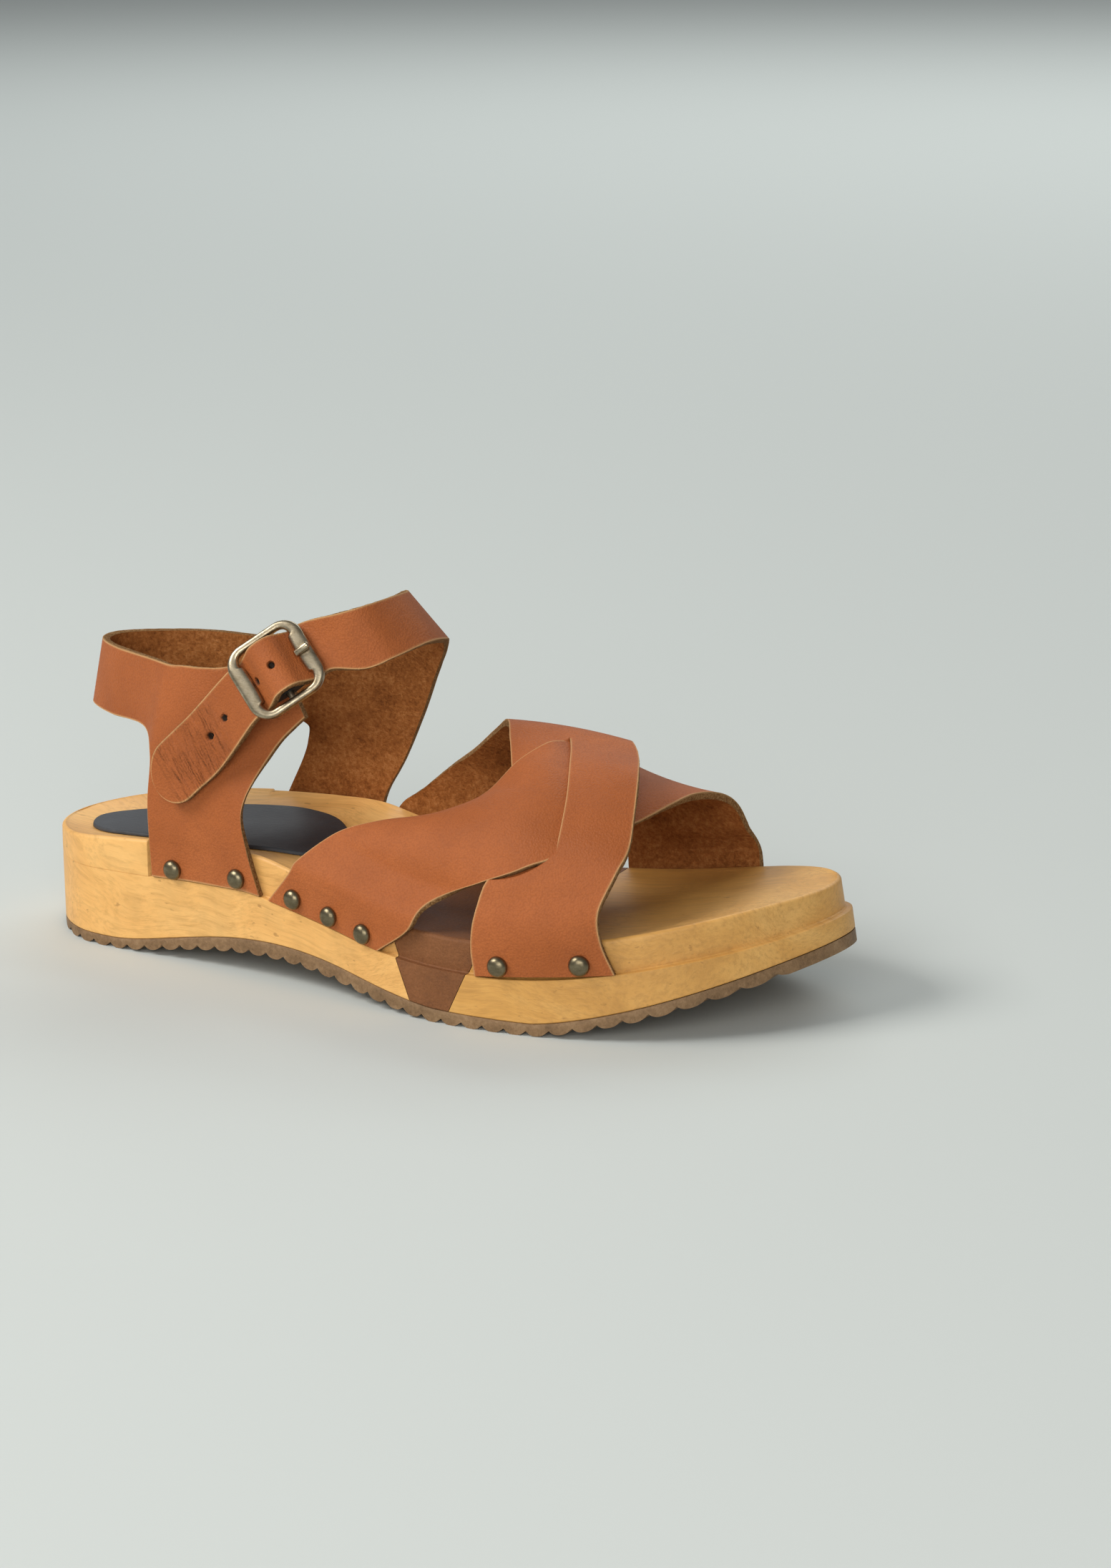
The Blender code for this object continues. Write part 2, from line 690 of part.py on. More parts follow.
def keep_off_wood(grid, depth, above):
    """Leather below the footbed lies on the rebate's wall, and just above it stays outside that wall.

    depth is how far the points lie inside the leather's outer side, above how far over the footbed the
    leather is held.
    """
    grid = np.ascontiguousarray(grid)
    for point in grid.reshape(-1, 3):
        along = parts_along(point[0])
        if not HEEL_BACK < along < TOE_TIP or point[2] > footbed_edge(along) + above:
            continue
        side = SIDE_INNER if point[1] > 0 else SIDE_OUTER
        wall = leather_wall(along, side) - side * depth
        if point[2] < footbed_edge(along) - 0.0005:
            point[1] = wall
        else:
            point[1] = max(point[1], wall) if side == SIDE_INNER else min(point[1], wall)
        point[2] = max(point[2], ledge(along) + GAP)
    return grid


def solid_sheet(bm, outer, thickness, above):
    """Closed solid of a grid of outer points and the same grid moved inwards by the thickness."""
    inner = keep_off_wood(outer + grid_normals(outer) * thickness, thickness, above)
    layers = []
    for layer in (outer, inner):
        layers.append([[bm.verts.new(p) for p in row] for row in layer])
    for layer in layers:
        for low, high in zip(layer, layer[1:]):
            for k in range(len(low) - 1):
                bm.faces.new((low[k], high[k], high[k + 1], low[k + 1]))
    top, under = layers
    rows = len(top)
    for k in (0, len(top[0]) - 1):
        for i in range(rows - 1):
            bm.faces.new((top[i][k], top[i + 1][k], under[i + 1][k], under[i][k]))
    for i in (0, rows - 1):
        for k in range(len(top[0]) - 1):
            bm.faces.new((top[i][k], top[i][k + 1], under[i][k + 1], under[i][k]))
    bmesh.ops.recalc_face_normals(bm, faces=bm.faces)


def join_bodies(body, other):
    """Make one solid of two that cross: the second stays as a hidden helper."""
    other.hide_render = True
    other.display_type = "WIRE"
    union = body.modifiers.new("join", "BOOLEAN")
    union.operation = "UNION"
    union.object = other
    union.solver = "EXACT"


def foot_rows(name, side, outward_first):
    """The two rows of a strap's foot: on the rebate, and beside the footbed's edge."""
    rear_foot, front_foot, rear_above, front_above = STRAP_FEET[name]
    rows = []
    for rear, front, above in ((rear_foot, front_foot, False), (rear_above, front_above, True)):
        row = []
        for along in (rear, front):
            z = footbed_edge(along) if above else ledge(along) + GAP
            row += [along_m(along), leather_wall(along, side), z]
        rows.append([*row, 0.0])
    return rows if outward_first else rows[::-1]


def strap_grid(table, outer_foot, inner_foot):
    rows = foot_rows(outer_foot, SIDE_OUTER, True) + edge_rows(table) + foot_rows(inner_foot, SIDE_INNER, False)
    return keep_off_wood(fill_between(smooth_rows(rows, SPAN_STEPS), -1), 0.0, STRAP_HELD)


def build_front_straps(mat):
    """Both straps as bent sheets, joined into one solid where they cross."""
    parts = []
    for name, table in (("A", STRAP_A), ("B", STRAP_B)):
        bm = bmesh.new()
        solid_sheet(bm, strap_grid(table, name + "_outer", name + "_inner"), LEATHER, STRAP_HELD)
        parts.append(add_object("front_straps" if name == "A" else "strap_cutter", bm, mat))
    straps, other = parts
    join_bodies(straps, other)
    return straps


def buckle_axes():
    """Centre of the frame and its three directions: along the strap, out of it and across it."""
    along, across, up = BUCKLE_CENTRE
    u = Vector(BUCKLE_ALONG).normalized()
    n = Vector(BUCKLE_OUT)
    n = (n - u * n.dot(u)).normalized()
    return place(along, across, up), u, n, n.cross(u)


def buckle_point(run, lift, across):
    centre, u, n, w = buckle_axes()
    return centre + u * run + n * lift + w * across


def pass_rows():
    """Rows of the strap inside the buckle, from the frame's own axes."""
    rows = []
    half = BUCKLE_LENGTH / 2
    for run, lift in BUCKLE_PASS:
        lower = buckle_point(run * half, lift * half, -across_m(STRAP_HALF))
        upper = buckle_point(run * half, lift * half, across_m(STRAP_HALF))
        rows.append([*lower, *upper, 0.0])
    return rows


def build_heel_upper(mat):
    """Quarter, heel band, inner quarter and ankle strap as one bent sheet."""
    rows = []
    ankle = edge_rows(ANKLE_STRAP) + pass_rows() + edge_rows(STRAP_END)
    for run in (QUARTER_FRONT, QUARTER_FOOT, HEEL_BAND, INNER_FOOT):
        run = smooth_rows(edge_rows(run), SPAN_STEPS)
        rows.extend(run if not rows else run[1:])
    rows.extend(smooth_rows(ankle, SPAN_STEPS)[1:])
    grid = fill_between(rows, -1)
    bm = bmesh.new()
    solid_sheet(bm, keep_off_wood(grid, 0.0, QUARTER_HELD), LEATHER, QUARTER_HELD)
    return add_object("heel_upper", bm, mat)


def rounded_path(half_u, half_w, radius, steps):
    """Points, outward normals and tangents of a rounded rectangle, with a point halfway along each side."""
    path = []
    for quarter in range(4):
        sign_u = 1 if quarter in (0, 3) else -1
        sign_w = 1 if quarter < 2 else -1
        centre = Vector((sign_u * (half_u - radius), sign_w * (half_w - radius)))
        for k in range(steps + 1):
            angle = math.pi / 2 * (quarter + k / steps)
            normal = Vector((math.cos(angle), math.sin(angle)))
            path.append((centre + normal * radius, normal))
        side = Vector((0.0, half_w)) if quarter in (0, 2) else Vector((half_u, 0.0))
        side = side * (1 if quarter in (0, 3) else -1)
        path.append((side, side.normalized()))
    return path


def build_buckle_frame(mat):
    """Frame swept round a rounded rectangle, wide where it crosses the strap, with its centre bar."""
    bm = bmesh.new()
    rings = []
    for point, normal in rounded_path(BUCKLE_LENGTH / 2, BUCKLE_BREADTH / 2, 0.0050, 4):
        breadth = BAR_WIDE * abs(normal.x)**1.5 + BAR_NARROW * (1 - abs(normal.x)**1.5)
        middle = point - normal * breadth / 2
        ring = []
        for k in range(8):
            angle = 2 * math.pi * k / 8
            flat = middle + normal * (breadth / 2 * math.cos(angle))
            ring.append(bm.verts.new(buckle_point(flat.x, BUCKLE_BAR / 2 * math.sin(angle), flat.y)))
        rings.append(ring)
    for low, high in zip(rings, rings[1:] + rings[:1]):
        join_rings(bm, low, high)
    frame = add_object("buckle_frame", bm, mat)
    bm = bmesh.new()
    reach = BUCKLE_BREADTH / 2 - BAR_NARROW / 2
    rod(bm, buckle_point(0, 0, -reach), buckle_point(0, 0, reach), CENTRE_BAR / 2, CENTRE_BAR / 2, 8)
    join_bodies(frame, add_object("frame_pin", bm, mat))
    return frame


def rod(bm, start, end, radius_start, radius_end, sides):
    """Closed round rod between two points."""
    axis = (end - start).normalized()
    side = axis.orthogonal().normalized()
    other = axis.cross(side)
    rings = []
    for centre, radius in ((start, radius_start), (end, radius_end)):
        ring = []
        for k in range(sides):
            angle = 2 * math.pi * k / sides
            ring.append(bm.verts.new(centre + (side * math.cos(angle) + other * math.sin(angle)) * radius))
        rings.append(ring)
    join_rings(bm, *rings)
    bm.faces.new(rings[0])
    bm.faces.new(rings[1])


def build_prong(mat):
    """The prong's free end, resting just above the front bar."""
    bm = bmesh.new()
    half = BUCKLE_LENGTH / 2
    start = buckle_point(0.60 * half, 0.16 * half, 0.0)
    end = buckle_point(0.99 * half, 0.235 * half, 0.0)
    rod(bm, start, end, 0.0009, 0.0008, 8)
    return add_object("buckle_prong", bm, mat)


def build_keeper(mat):
    """Leather loop round the centre bar, drawn as a long ring whose far end lies on the quarter's tongue."""
    bm = bmesh.new()
    inner = CENTRE_BAR / 2 + GAP
    outer = inner + 0.0008
    depth = 0.0020
    reach = 0.0050
    rings = []
    count = 14
    for k in range(count):
        angle = 2 * math.pi * k / count
        shift = -depth if math.sin(angle) < -1e-9 else 0.0
        ring = []
        for radius, side in ((inner, -1), (outer, -1), (outer, 1), (inner, 1)):
            run, lift = radius * math.cos(angle), radius * math.sin(angle) + shift
            ring.append(bm.verts.new(buckle_point(run, lift, side * reach)))
        rings.append(ring)
    for low, high in zip(rings, rings[1:] + rings[:1]):
        join_rings(bm, low, high)
    return add_object("buckle_keeper", bm, mat)


def build_tacks(mat):
    """Domed heads on the leather, each on the wall's own normal."""
    sides, rings = 10, 3
    for number, (along, height, side) in enumerate(TACKS, 1):
        nearby = []
        for where in (along - 2.0, along, along + 2.0):
            nearby.append(Vector((along_m(where), leather_wall(where, side), 0.0)))
        tangent = (nearby[2] - nearby[0]).normalized()
        normal = Vector((-tangent.y, tangent.x, 0.0)) * side
        base = nearby[1] + normal * (GAP + 0.00015)
        base.z = ledge(along) + height * FOOTBED_HEIGHT / GRID_FOOTBED
        up = Vector((0.0, 0.0, 1.0))
        bm = bmesh.new()
        loops = []
        for r in range(rings):
            angle = math.pi / 2 * r / rings
            radius, lift = TACK_RADIUS * math.cos(angle), TACK_DOME * math.sin(angle)
            loop = []
            for k in range(sides):
                turn = 2 * math.pi * k / sides
                spot = tangent * math.cos(turn) + up * math.sin(turn)
                loop.append(bm.verts.new(base + spot * radius + normal * lift))
            loops.append(loop)
        top = bm.verts.new(base + normal * TACK_DOME)
        for low, high in zip(loops, loops[1:]):
            join_rings(bm, low, high)
        for k in range(sides):
            bm.faces.new((loops[-1][k], loops[-1][(k + 1) % sides], top))
        bm.faces.new(loops[0])
        add_object(f"tack_{number:02d}", bm, mat)


def main():
    for obj in list(bpy.data.objects):
        bpy.data.objects.remove(obj, do_unlink=True)
    rubber = material("rubber_taupe", (0.18, 0.12, 0.07), 0.55)
    wood = material("wood_pale", (0.72, 0.47, 0.16), 0.5)
    insert = material("rubber_brown", (0.12, 0.05, 0.03), 0.6)
    pad = material("pad_slate", (0.04, 0.045, 0.05), 0.6)
    leather = material("leather_tan", (0.42, 0.13, 0.045), 0.45)
    build_outsole(rubber)
    build_wood(wood, wood, insert)
    build_pad(pad)
    build_front_straps(leather)
    build_heel_upper(leather)
    steel = material("buckle_silver", (0.52, 0.49, 0.42), 0.35, 1.0)
    brass = material("tack_brass", (0.22, 0.19, 0.11), 0.4, 1.0)
    dark = material("keeper_dark", (0.02, 0.02, 0.02), 0.6)
    build_buckle_frame(steel)
    build_prong(steel)
    build_keeper(dark)
    build_tacks(brass)


main()
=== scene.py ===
# %% [markdown]
# # Wooden sole sandal
# A wooden sole with a ribbed rubber sheet under it and vegetable-tanned straps nailed into a rebate round
# its edge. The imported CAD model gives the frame: every piece below is made again as a finer surface in the
# same place, in metres, with +X to the toe, +Y to the inner side of the foot and +Z up.

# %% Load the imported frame
import math

import bmesh
import bpy
import numpy as np
from mathutils import Matrix, Vector


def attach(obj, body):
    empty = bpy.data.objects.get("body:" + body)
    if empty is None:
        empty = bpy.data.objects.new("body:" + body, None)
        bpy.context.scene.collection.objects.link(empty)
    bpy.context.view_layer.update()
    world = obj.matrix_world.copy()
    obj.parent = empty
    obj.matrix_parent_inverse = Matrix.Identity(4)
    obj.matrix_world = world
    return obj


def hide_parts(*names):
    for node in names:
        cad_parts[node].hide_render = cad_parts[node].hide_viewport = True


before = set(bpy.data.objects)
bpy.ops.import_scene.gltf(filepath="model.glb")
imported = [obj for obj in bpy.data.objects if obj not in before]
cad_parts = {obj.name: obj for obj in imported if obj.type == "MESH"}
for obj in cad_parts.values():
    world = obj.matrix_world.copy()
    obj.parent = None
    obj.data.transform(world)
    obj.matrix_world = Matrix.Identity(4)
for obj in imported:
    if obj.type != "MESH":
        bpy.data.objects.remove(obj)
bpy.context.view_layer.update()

# %% [markdown]
# ## The camera
# It looks at the outer side of the shoe from in front, 14.6 degrees above the floor. The long lens keeps
# the sole's lines nearly parallel, as in the photograph.

# %% Camera
PHOTO_HIGH = 2192           # rows of pixels in the photograph
SENSOR = 36.0
FOCAL_PIXELS = 5257.1
DISTANCE = 1.07223
AZIMUTH, ELEVATION, ROLL = math.radians(29.488), math.radians(14.568), math.radians(-0.7)
TARGET = Vector((0.140057, -0.002509, 0.059291))

back = Vector((math.sin(AZIMUTH) * math.cos(ELEVATION), -math.cos(AZIMUTH) * math.cos(ELEVATION),
               math.sin(ELEVATION)))
lens = bpy.data.cameras.new("camera")
lens.sensor_fit = "VERTICAL"
lens.sensor_width = lens.sensor_height = SENSOR
lens.lens = FOCAL_PIXELS * SENSOR / PHOTO_HIGH
lens.clip_start, lens.clip_end = 0.05, 60.0
camera = bpy.data.objects.new("camera", lens)
camera.rotation_mode = "QUATERNION"
camera.rotation_quaternion = (-back).to_track_quat("-Z", "Y") @ Matrix.Rotation(ROLL, 3, "Z").to_quaternion()
camera.location = TARGET + back * DISTANCE
bpy.context.scene.collection.objects.link(camera)
bpy.context.scene.camera = camera
bpy.context.scene.view_settings.view_transform = "Standard"
print("lens", round(lens.lens, 2), "mm")

# %% [markdown]
# ## The sizes
# The sole's outline, its heights and the edges of the straps are tables in millimetres, drawn as smooth
# curves through a few points. They are the same shapes as the solids of the frame, only finer.

# %% Sole tables
MM = 0.001
HEEL_CENTRE = 3.0
HEEL_BACK, TOE_TIP = -33.0, 223.0
BEVEL_END, HEEL_BEVEL = -20.0, 1.7
ARCH_START, ARCH_END, ARCH_RISE = 1.0, 124.0, 6.7
SPRING_START, SPRING_POWER, TOE_SPRING, TOE_LEAN = 154.0, 1.33, 18.9, 0.16
RUBBER_THICK, RIB_PITCH, RIB_DEPTH = 3.7, 6.64, 1.6
REBATE, REBATE_START = 2.0, 17.0
LEATHER, GAP = 2.2, 0.3
DISH = 1.2

OUTLINE = np.array([
    # along, centre, half
    (-33.0, 0.0, 0.0), (-25.5, 0.2, 19.9), (-12.5, -0.4, 29.7), (5.0, -0.2, 33.1), (31.0, 0.3, 35.2),
    (56.0, -0.8, 37.1), (82.0, -4.1, 38.2), (107.0, -7.3, 40.9), (133.0, -6.5, 44.4), (153.0, -3.6, 45.8),
    (171.0, -0.7, 44.8), (189.0, 2.5, 40.3), (204.0, 6.2, 31.8), (215.5, 9.6, 19.9), (223.0, 11.0, 0.0)])
FOOTBED = np.array([
    # along, height
    (-33.0, 31.3), (-20.0, 32.3), (-2.0, 34.0), (15.0, 35.3), (40.0, 36.2), (57.0, 35.9), (69.0, 33.7),
    (90.0, 29.6), (117.0, 25.2), (140.0, 25.0), (158.0, 26.1), (178.0, 28.8), (195.0, 31.8), (207.0, 34.0),
    (223.0, 36.6)])
LEDGE = np.array([
    # along, height
    (-33.0, 23.5), (17.0, 24.4), (40.0, 25.0), (56.0, 24.9), (66.0, 23.3), (90.0, 19.4), (113.0, 16.3),
    (133.0, 15.5), (146.0, 15.6), (159.0, 16.6), (176.0, 18.9), (194.0, 22.0), (207.0, 24.4), (216.0, 26.4),
    (223.0, 28.3)])
HOLLOW = np.array([
    # along, share of DISH
    (-33.0, 0.3), (-18.0, 2.1), (0.0, 2.7), (50.0, 2.5), (80.0, 1.5), (110.0, 1.0), (223.0, 0.8)])
RUBBER = np.array([
    # along, share of RUBBER_THICK
    (-33.0, 0.62), (-20.0, 0.80), (5.0, 0.84), (20.0, 0.93), (50.0, 1.16), (100.0, 1.16), (130.0, 1.00),
    (223.0, 0.96)])
PAD = np.array([
    # along, centre, half
    (-22.0, -4.5, 0.0), (-18.0, -4.5, 9.5), (-10.0, -4.0, 15.0), (4.0, -3.0, 19.5), (22.0, -2.0, 22.5),
    (38.0, -2.5, 23.0), (51.0, -4.5, 20.0), (61.0, -7.5, 14.0), (68.0, -9.5, 0.0)])


# %% [markdown]
# ## Curves as whole arrays
# A cubic Hermite curve passes through every point of a table, with a slope at each from its two
# neighbours. All helpers take and return arrays, so a surface is a few lines of arithmetic.

# %% Curve helpers
def curve(xs, ys, x):
    """On each stretch: value = a * y0 + b * h * slope0 + c * y1 + d * h * slope1, the Hermite cubic."""
    x = np.asarray(x, float)
    slope = np.gradient(ys, xs)
    i = np.clip(np.searchsorted(xs, x) - 1, 0, len(xs) - 2)
    h = xs[i + 1] - xs[i]
    t = (x - xs[i]) / h
    return ((2 * t**3 - 3 * t**2 + 1) * ys[i] + (t**3 - 2 * t**2 + t) * h * slope[i]
            + (3 * t**2 - 2 * t**3) * ys[i + 1] + (t**3 - t**2) * h * slope[i + 1])


def table_at(table, along):
    return curve(table[:, 0], table[:, 1], along)


def smooth(low, high, x):
    """0 below low, 1 above high and the cubic 3t^2 - 2t^3 between."""
    t = np.clip((x - low) / (high - low), 0.0, 1.0)
    return t * t * (3 - 2 * t)


def outline_at(along):
    """Centre, and half breadth as the root of a smooth curve through the squares: round at both tips."""
    square = curve(OUTLINE[:, 0], OUTLINE[:, 2]**2, along)
    return curve(OUTLINE[:, 0], OUTLINE[:, 1], along), np.sqrt(np.maximum(square, 0.0))


def underside(along):
    """Bevel behind the heel, an arch of sin(pi t)^1.5, flat under the ball, a power curve to the toe."""
    along = np.asarray(along, float)
    bevel = HEEL_BEVEL * np.clip((BEVEL_END - along) / (BEVEL_END - HEEL_BACK), 0, 1)**2
    share = np.clip((along - ARCH_START) / (ARCH_END - ARCH_START), 0, 1)
    arch = ARCH_RISE * np.sin(np.pi * share)**1.5
    spring = TOE_SPRING * np.clip((along - SPRING_START) / (TOE_TIP - SPRING_START), 0, 1)**SPRING_POWER
    return bevel + arch + spring


def rubber_top(along):
    return underside(along) + RUBBER_THICK * table_at(RUBBER, along)


def footbed(along, y):
    """Edge height less the hollow, which falls away from the edge as one minus the cube of the share."""
    centre, half = outline_at(along)
    share = np.clip(np.abs(y - centre) / np.maximum(half, 1e-6), 0, 1)
    return table_at(FOOTBED, along) - DISH * table_at(HOLLOW, along) * (1 - share**3)


def rough_line(count, seed, coarse, fine):
    """Repeatable noise along a line: random values smoothed over a few neighbours, in two sizes."""
    rng = np.random.default_rng(seed)
    wide = np.convolve(rng.normal(size=count + 16), np.hanning(9) / np.hanning(9).sum(), "same")[8:count + 8]
    return coarse * wide * 2.2 + fine * rng.normal(size=count)


# %% [markdown]
# ## From a grid to a mesh
# A grid of points becomes a mesh of four-sided faces. A grid may close on itself along either side, and
# each face takes a material number, so that grain, cut edge and flesh side can differ on one strap.

# %% Mesh helpers
def grid_faces(rows, columns, wrap_rows=False, wrap_columns=False):
    """Corner numbers of the faces between neighbouring rows and columns."""
    i = np.arange(rows if wrap_rows else rows - 1)[:, None]
    k = np.arange(columns if wrap_columns else columns - 1)[None, :]
    i2, k2 = (i + 1) % rows, (k + 1) % columns
    corners = [i * columns + k, i2 * columns + k, i2 * columns + k2, i * columns + k2]
    return np.stack([np.broadcast_to(c, (i.size, k.size)) for c in corners], -1).reshape(-1, 4)


def make_piece(name, points, faces, materials, numbers=None, attributes=None, uv=None, sharp=40.0,
               merge=True):
    """points in millimetres, (n, 3). Doubles are merged and faces turned outwards before it is finished."""
    mesh = bpy.data.meshes.new(name)
    mesh.from_pydata((np.asarray(points) * MM).tolist(), [], [list(map(int, face)) for face in faces])
    for mat in materials:
        mesh.materials.append(mat)
    if numbers is not None:
        mesh.polygons.foreach_set("material_index", np.asarray(numbers, np.int32))
    for key, values in (attributes or {}).items():
        layer = mesh.attributes.new(key, "FLOAT", "POINT")
        layer.data.foreach_set("value", np.asarray(values, np.float32).ravel())
    if uv is not None:
        corner = np.zeros(len(mesh.loops), np.int32)
        mesh.loops.foreach_get("vertex_index", corner)
        mesh.uv_layers.new(name="lay").data.foreach_set("uv", np.asarray(uv, np.float32)[corner].ravel())
    bm = bmesh.new()
    bm.from_mesh(mesh)
    if merge:
        bmesh.ops.remove_doubles(bm, verts=bm.verts, dist=1e-6)
    bmesh.ops.recalc_face_normals(bm, faces=bm.faces)
    bm.to_mesh(mesh)
    bm.free()
    mesh.shade_smooth()
    mesh.set_sharp_from_angle(angle=math.radians(sharp))
    piece = bpy.data.objects.new(name, mesh)
    bpy.context.scene.collection.objects.link(piece)
    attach(piece, "root")
    print(name, len(mesh.polygons), "faces")
    return piece


# %% [markdown]
# ## Writing shader maths
# A material is a small network. This class wraps one output socket, so that `1 - mask * 0.5` adds the Math
# nodes it needs. Every other node comes from `Finish.node`, with its settings set before its inputs.

# %% Shader helpers
class Value:
    def __init__(self, finish, socket):
        self.finish = finish
        self.socket = socket

    def math(self, operation, a, b=0.0):
        return self.finish.node("Math", {"operation": operation}, {0: a, 1: b})

    def __add__(self, other):
        return self.math("ADD", self, other)

    def __sub__(self, other):
        return self.math("SUBTRACT", self, other)

    def __rsub__(self, other):
        return self.math("SUBTRACT", other, self)

    def __mul__(self, other):
        return self.math("MULTIPLY", self, other)

    __radd__ = __add__
    __rmul__ = __mul__


class Finish:
    """One procedural material. It starts with a Principled shader and grows by node()."""

    def __init__(self, name, **fixed):
        self.material = bpy.data.materials.new(name)
        self.material.use_nodes = True
        self.tree = self.material.node_tree
        self.shader = self.tree.nodes["Principled BSDF"]
        for key, value in fixed.items():
            self.shader.inputs[key.replace("_", " ").title().replace("Ior", "IOR")].default_value = value

    def put(self, entry, value):
        if isinstance(value, Value):
            self.tree.links.new(value.socket, entry)
        elif hasattr(entry.default_value, "__len__") and len(entry.default_value) == 4:
            entry.default_value = (*value[:3], 1.0)
        else:
            entry.default_value = value

    def node(self, kind, settings, inputs, output=0):
        made = self.tree.nodes.new("ShaderNode" + kind)
        for key, value in settings.items():
            if key == "stops":
                ramp = made.color_ramp
                while len(ramp.elements) < len(value):
                    ramp.elements.new(0.5)
                for element, (place, colour) in zip(ramp.elements, value):
                    element.position = place
                    element.color = (*colour, 1.0)
            else:
                setattr(made, key, value)
        for key, value in inputs.items():
            self.put(made.inputs[key], value)
        return Value(self, made.outputs[output])

    def place(self):
        return self.node("TexCoord", {}, {}, "Object")

    def lay(self):
        return self.node("UVMap", {"uv_map": "lay"}, {})

    def stretch(self, vector, scale):
        return self.node("Mapping", {}, {"Vector": vector, "Scale": scale})

    def noise(self, vector, scale, detail=2.0, rough=0.5):
        inputs = {"Vector": vector, "Scale": scale, "Detail": detail, "Roughness": rough}
        return self.node("TexNoise", {}, inputs)

    def cells(self, vector, scale):
        return self.node("TexVoronoi", {}, {"Vector": vector, "Scale": scale})

    def span(self, value, low, high, to_low=0.0, to_high=1.0):
        return self.node("MapRange", {"clamp": True}, {0: value, 1: low, 2: high, 3: to_low, 4: to_high})

    def mix(self, share, first, second):
        return self.node("Mix", {"data_type": "RGBA"}, {0: share, 6: first, 7: second}, 2)

    def ramp(self, value, stops):
        return self.node("ValToRGB", {"stops": stops}, {0: value})

    def attribute(self, name):
        return self.node("Attribute", {"attribute_name": name}, {}, "Fac")

    def relief(self, height, distance, strength=1.0, below=None):
        inputs = {"Height": height, "Distance": distance, "Strength": strength}
        if below is not None:
            inputs["Normal"] = below
        return self.node("Bump", {}, inputs)

    def wear(self, colour=None, rough=None, normal=None):
        for key, value in (("Base Color", colour), ("Roughness", rough), ("Normal", normal)):
            if value is not None:
                self.put(self.shader.inputs[key], value)
        return self.material


# %% [markdown]
# ## Leather
# The grain side is drum-dyed tan with fine pebbles and slow changes of tone. The flesh side is raw suede, and
# the cut edge is a rough fibre with a pale line where the knife went through the grain. An image would
# repeat, while noise and cells in object space have no seams. Attributes of the mesh say where the holes,
# the creases and the worn rim are.

# %% Leather finishes
def leather_grain():
    f = Finish("tan_leather", specular_ior_level=0.18)
    p = f.place()
    cloud = f.noise(p, 22.0, 3.0, 0.55)
    mottle = f.noise(p, 150.0, 4.0, 0.65)
    pebble = f.cells(p, 1700.0)
    pores = f.noise(p, 3200.0, 2.0, 0.6)
    base = f.ramp(cloud, [(0.30, (0.340, 0.092, 0.022)), (0.52, (0.410, 0.116, 0.031)),
                          (0.74, (0.480, 0.145, 0.043))])
    tone = f.mix(f.span(mottle, 0.40, 0.72, 0.0, 0.32), base, (0.30, 0.085, 0.026))
    tone = f.mix(f.span(pebble, 0.35, 0.75, 0.0, 0.28), tone, (0.24, 0.065, 0.020))
    crease = f.attribute("crease")
    fold = f.noise(f.stretch(f.lay(), (640.0, 120.0, 1.0)), 1.0, 1.2, 0.4)
    # Painted shade in the creases: where the fold noise is low, the grain side is mixed a little towards dark
    # brown.
    tone = f.mix(crease * f.span(fold, 0.36, 0.56, 0.05, 0.0), tone, (0.22, 0.060, 0.018))
    tone = f.mix(f.attribute("rim") * 0.80, tone, (0.60, 0.35, 0.15))
    # Painted shade in the strap's holes: within each hole's radius the grain side goes almost black.
    hole_shade = f.span(f.attribute("hole"), 0.95, 1.35, 1.0, 0.0)
    tone = f.mix(hole_shade, tone, (0.020, 0.010, 0.005))
    first = f.relief(crease * fold, 0.0024)
    second = f.relief(pebble * -1.0 + pores * 0.6, 0.00016, 0.8, first)
    rough = f.span(cloud + pebble * 0.25, 0.3, 0.95, 0.50, 0.64)
    return f.wear(tone, rough, normal=second)


def leather_flesh():
    f = Finish("suede_side", specular_ior_level=0.15)
    p = f.place()
    nap = f.noise(p, 800.0, 5.0, 0.75)
    streak = f.noise(p, 90.0, 4.0, 0.7)
    tone = f.ramp(nap * 0.6 + streak * 0.4, [(0.34, (0.170, 0.050, 0.010)), (0.50, (0.370, 0.130, 0.032)),
                                             (0.66, (0.560, 0.240, 0.080))])
    return f.wear(tone, 0.95, normal=f.relief(nap, 0.0012, 0.9))


def leather_cut():
    f = Finish("cut_edge", specular_ior_level=0.10)
    p = f.place()
    fibre = f.noise(p, 1500.0, 5.0, 0.8)
    depth = f.attribute("cut")
    raw = f.ramp(fibre, [(0.34, (0.110, 0.050, 0.016)), (0.52, (0.320, 0.165, 0.064)),
                         (0.70, (0.600, 0.370, 0.170))])
    tone = f.mix(f.span(depth, 0.05, 0.24, 0.85, 0.0), raw, (0.560, 0.330, 0.150))
    return f.wear(tone, 0.95, normal=f.relief(fibre, 0.0010, 0.9))


LEATHER_SET = [leather_grain(), leather_flesh(), leather_cut()]
print("leather finishes", [m.name for m in LEATHER_SET])
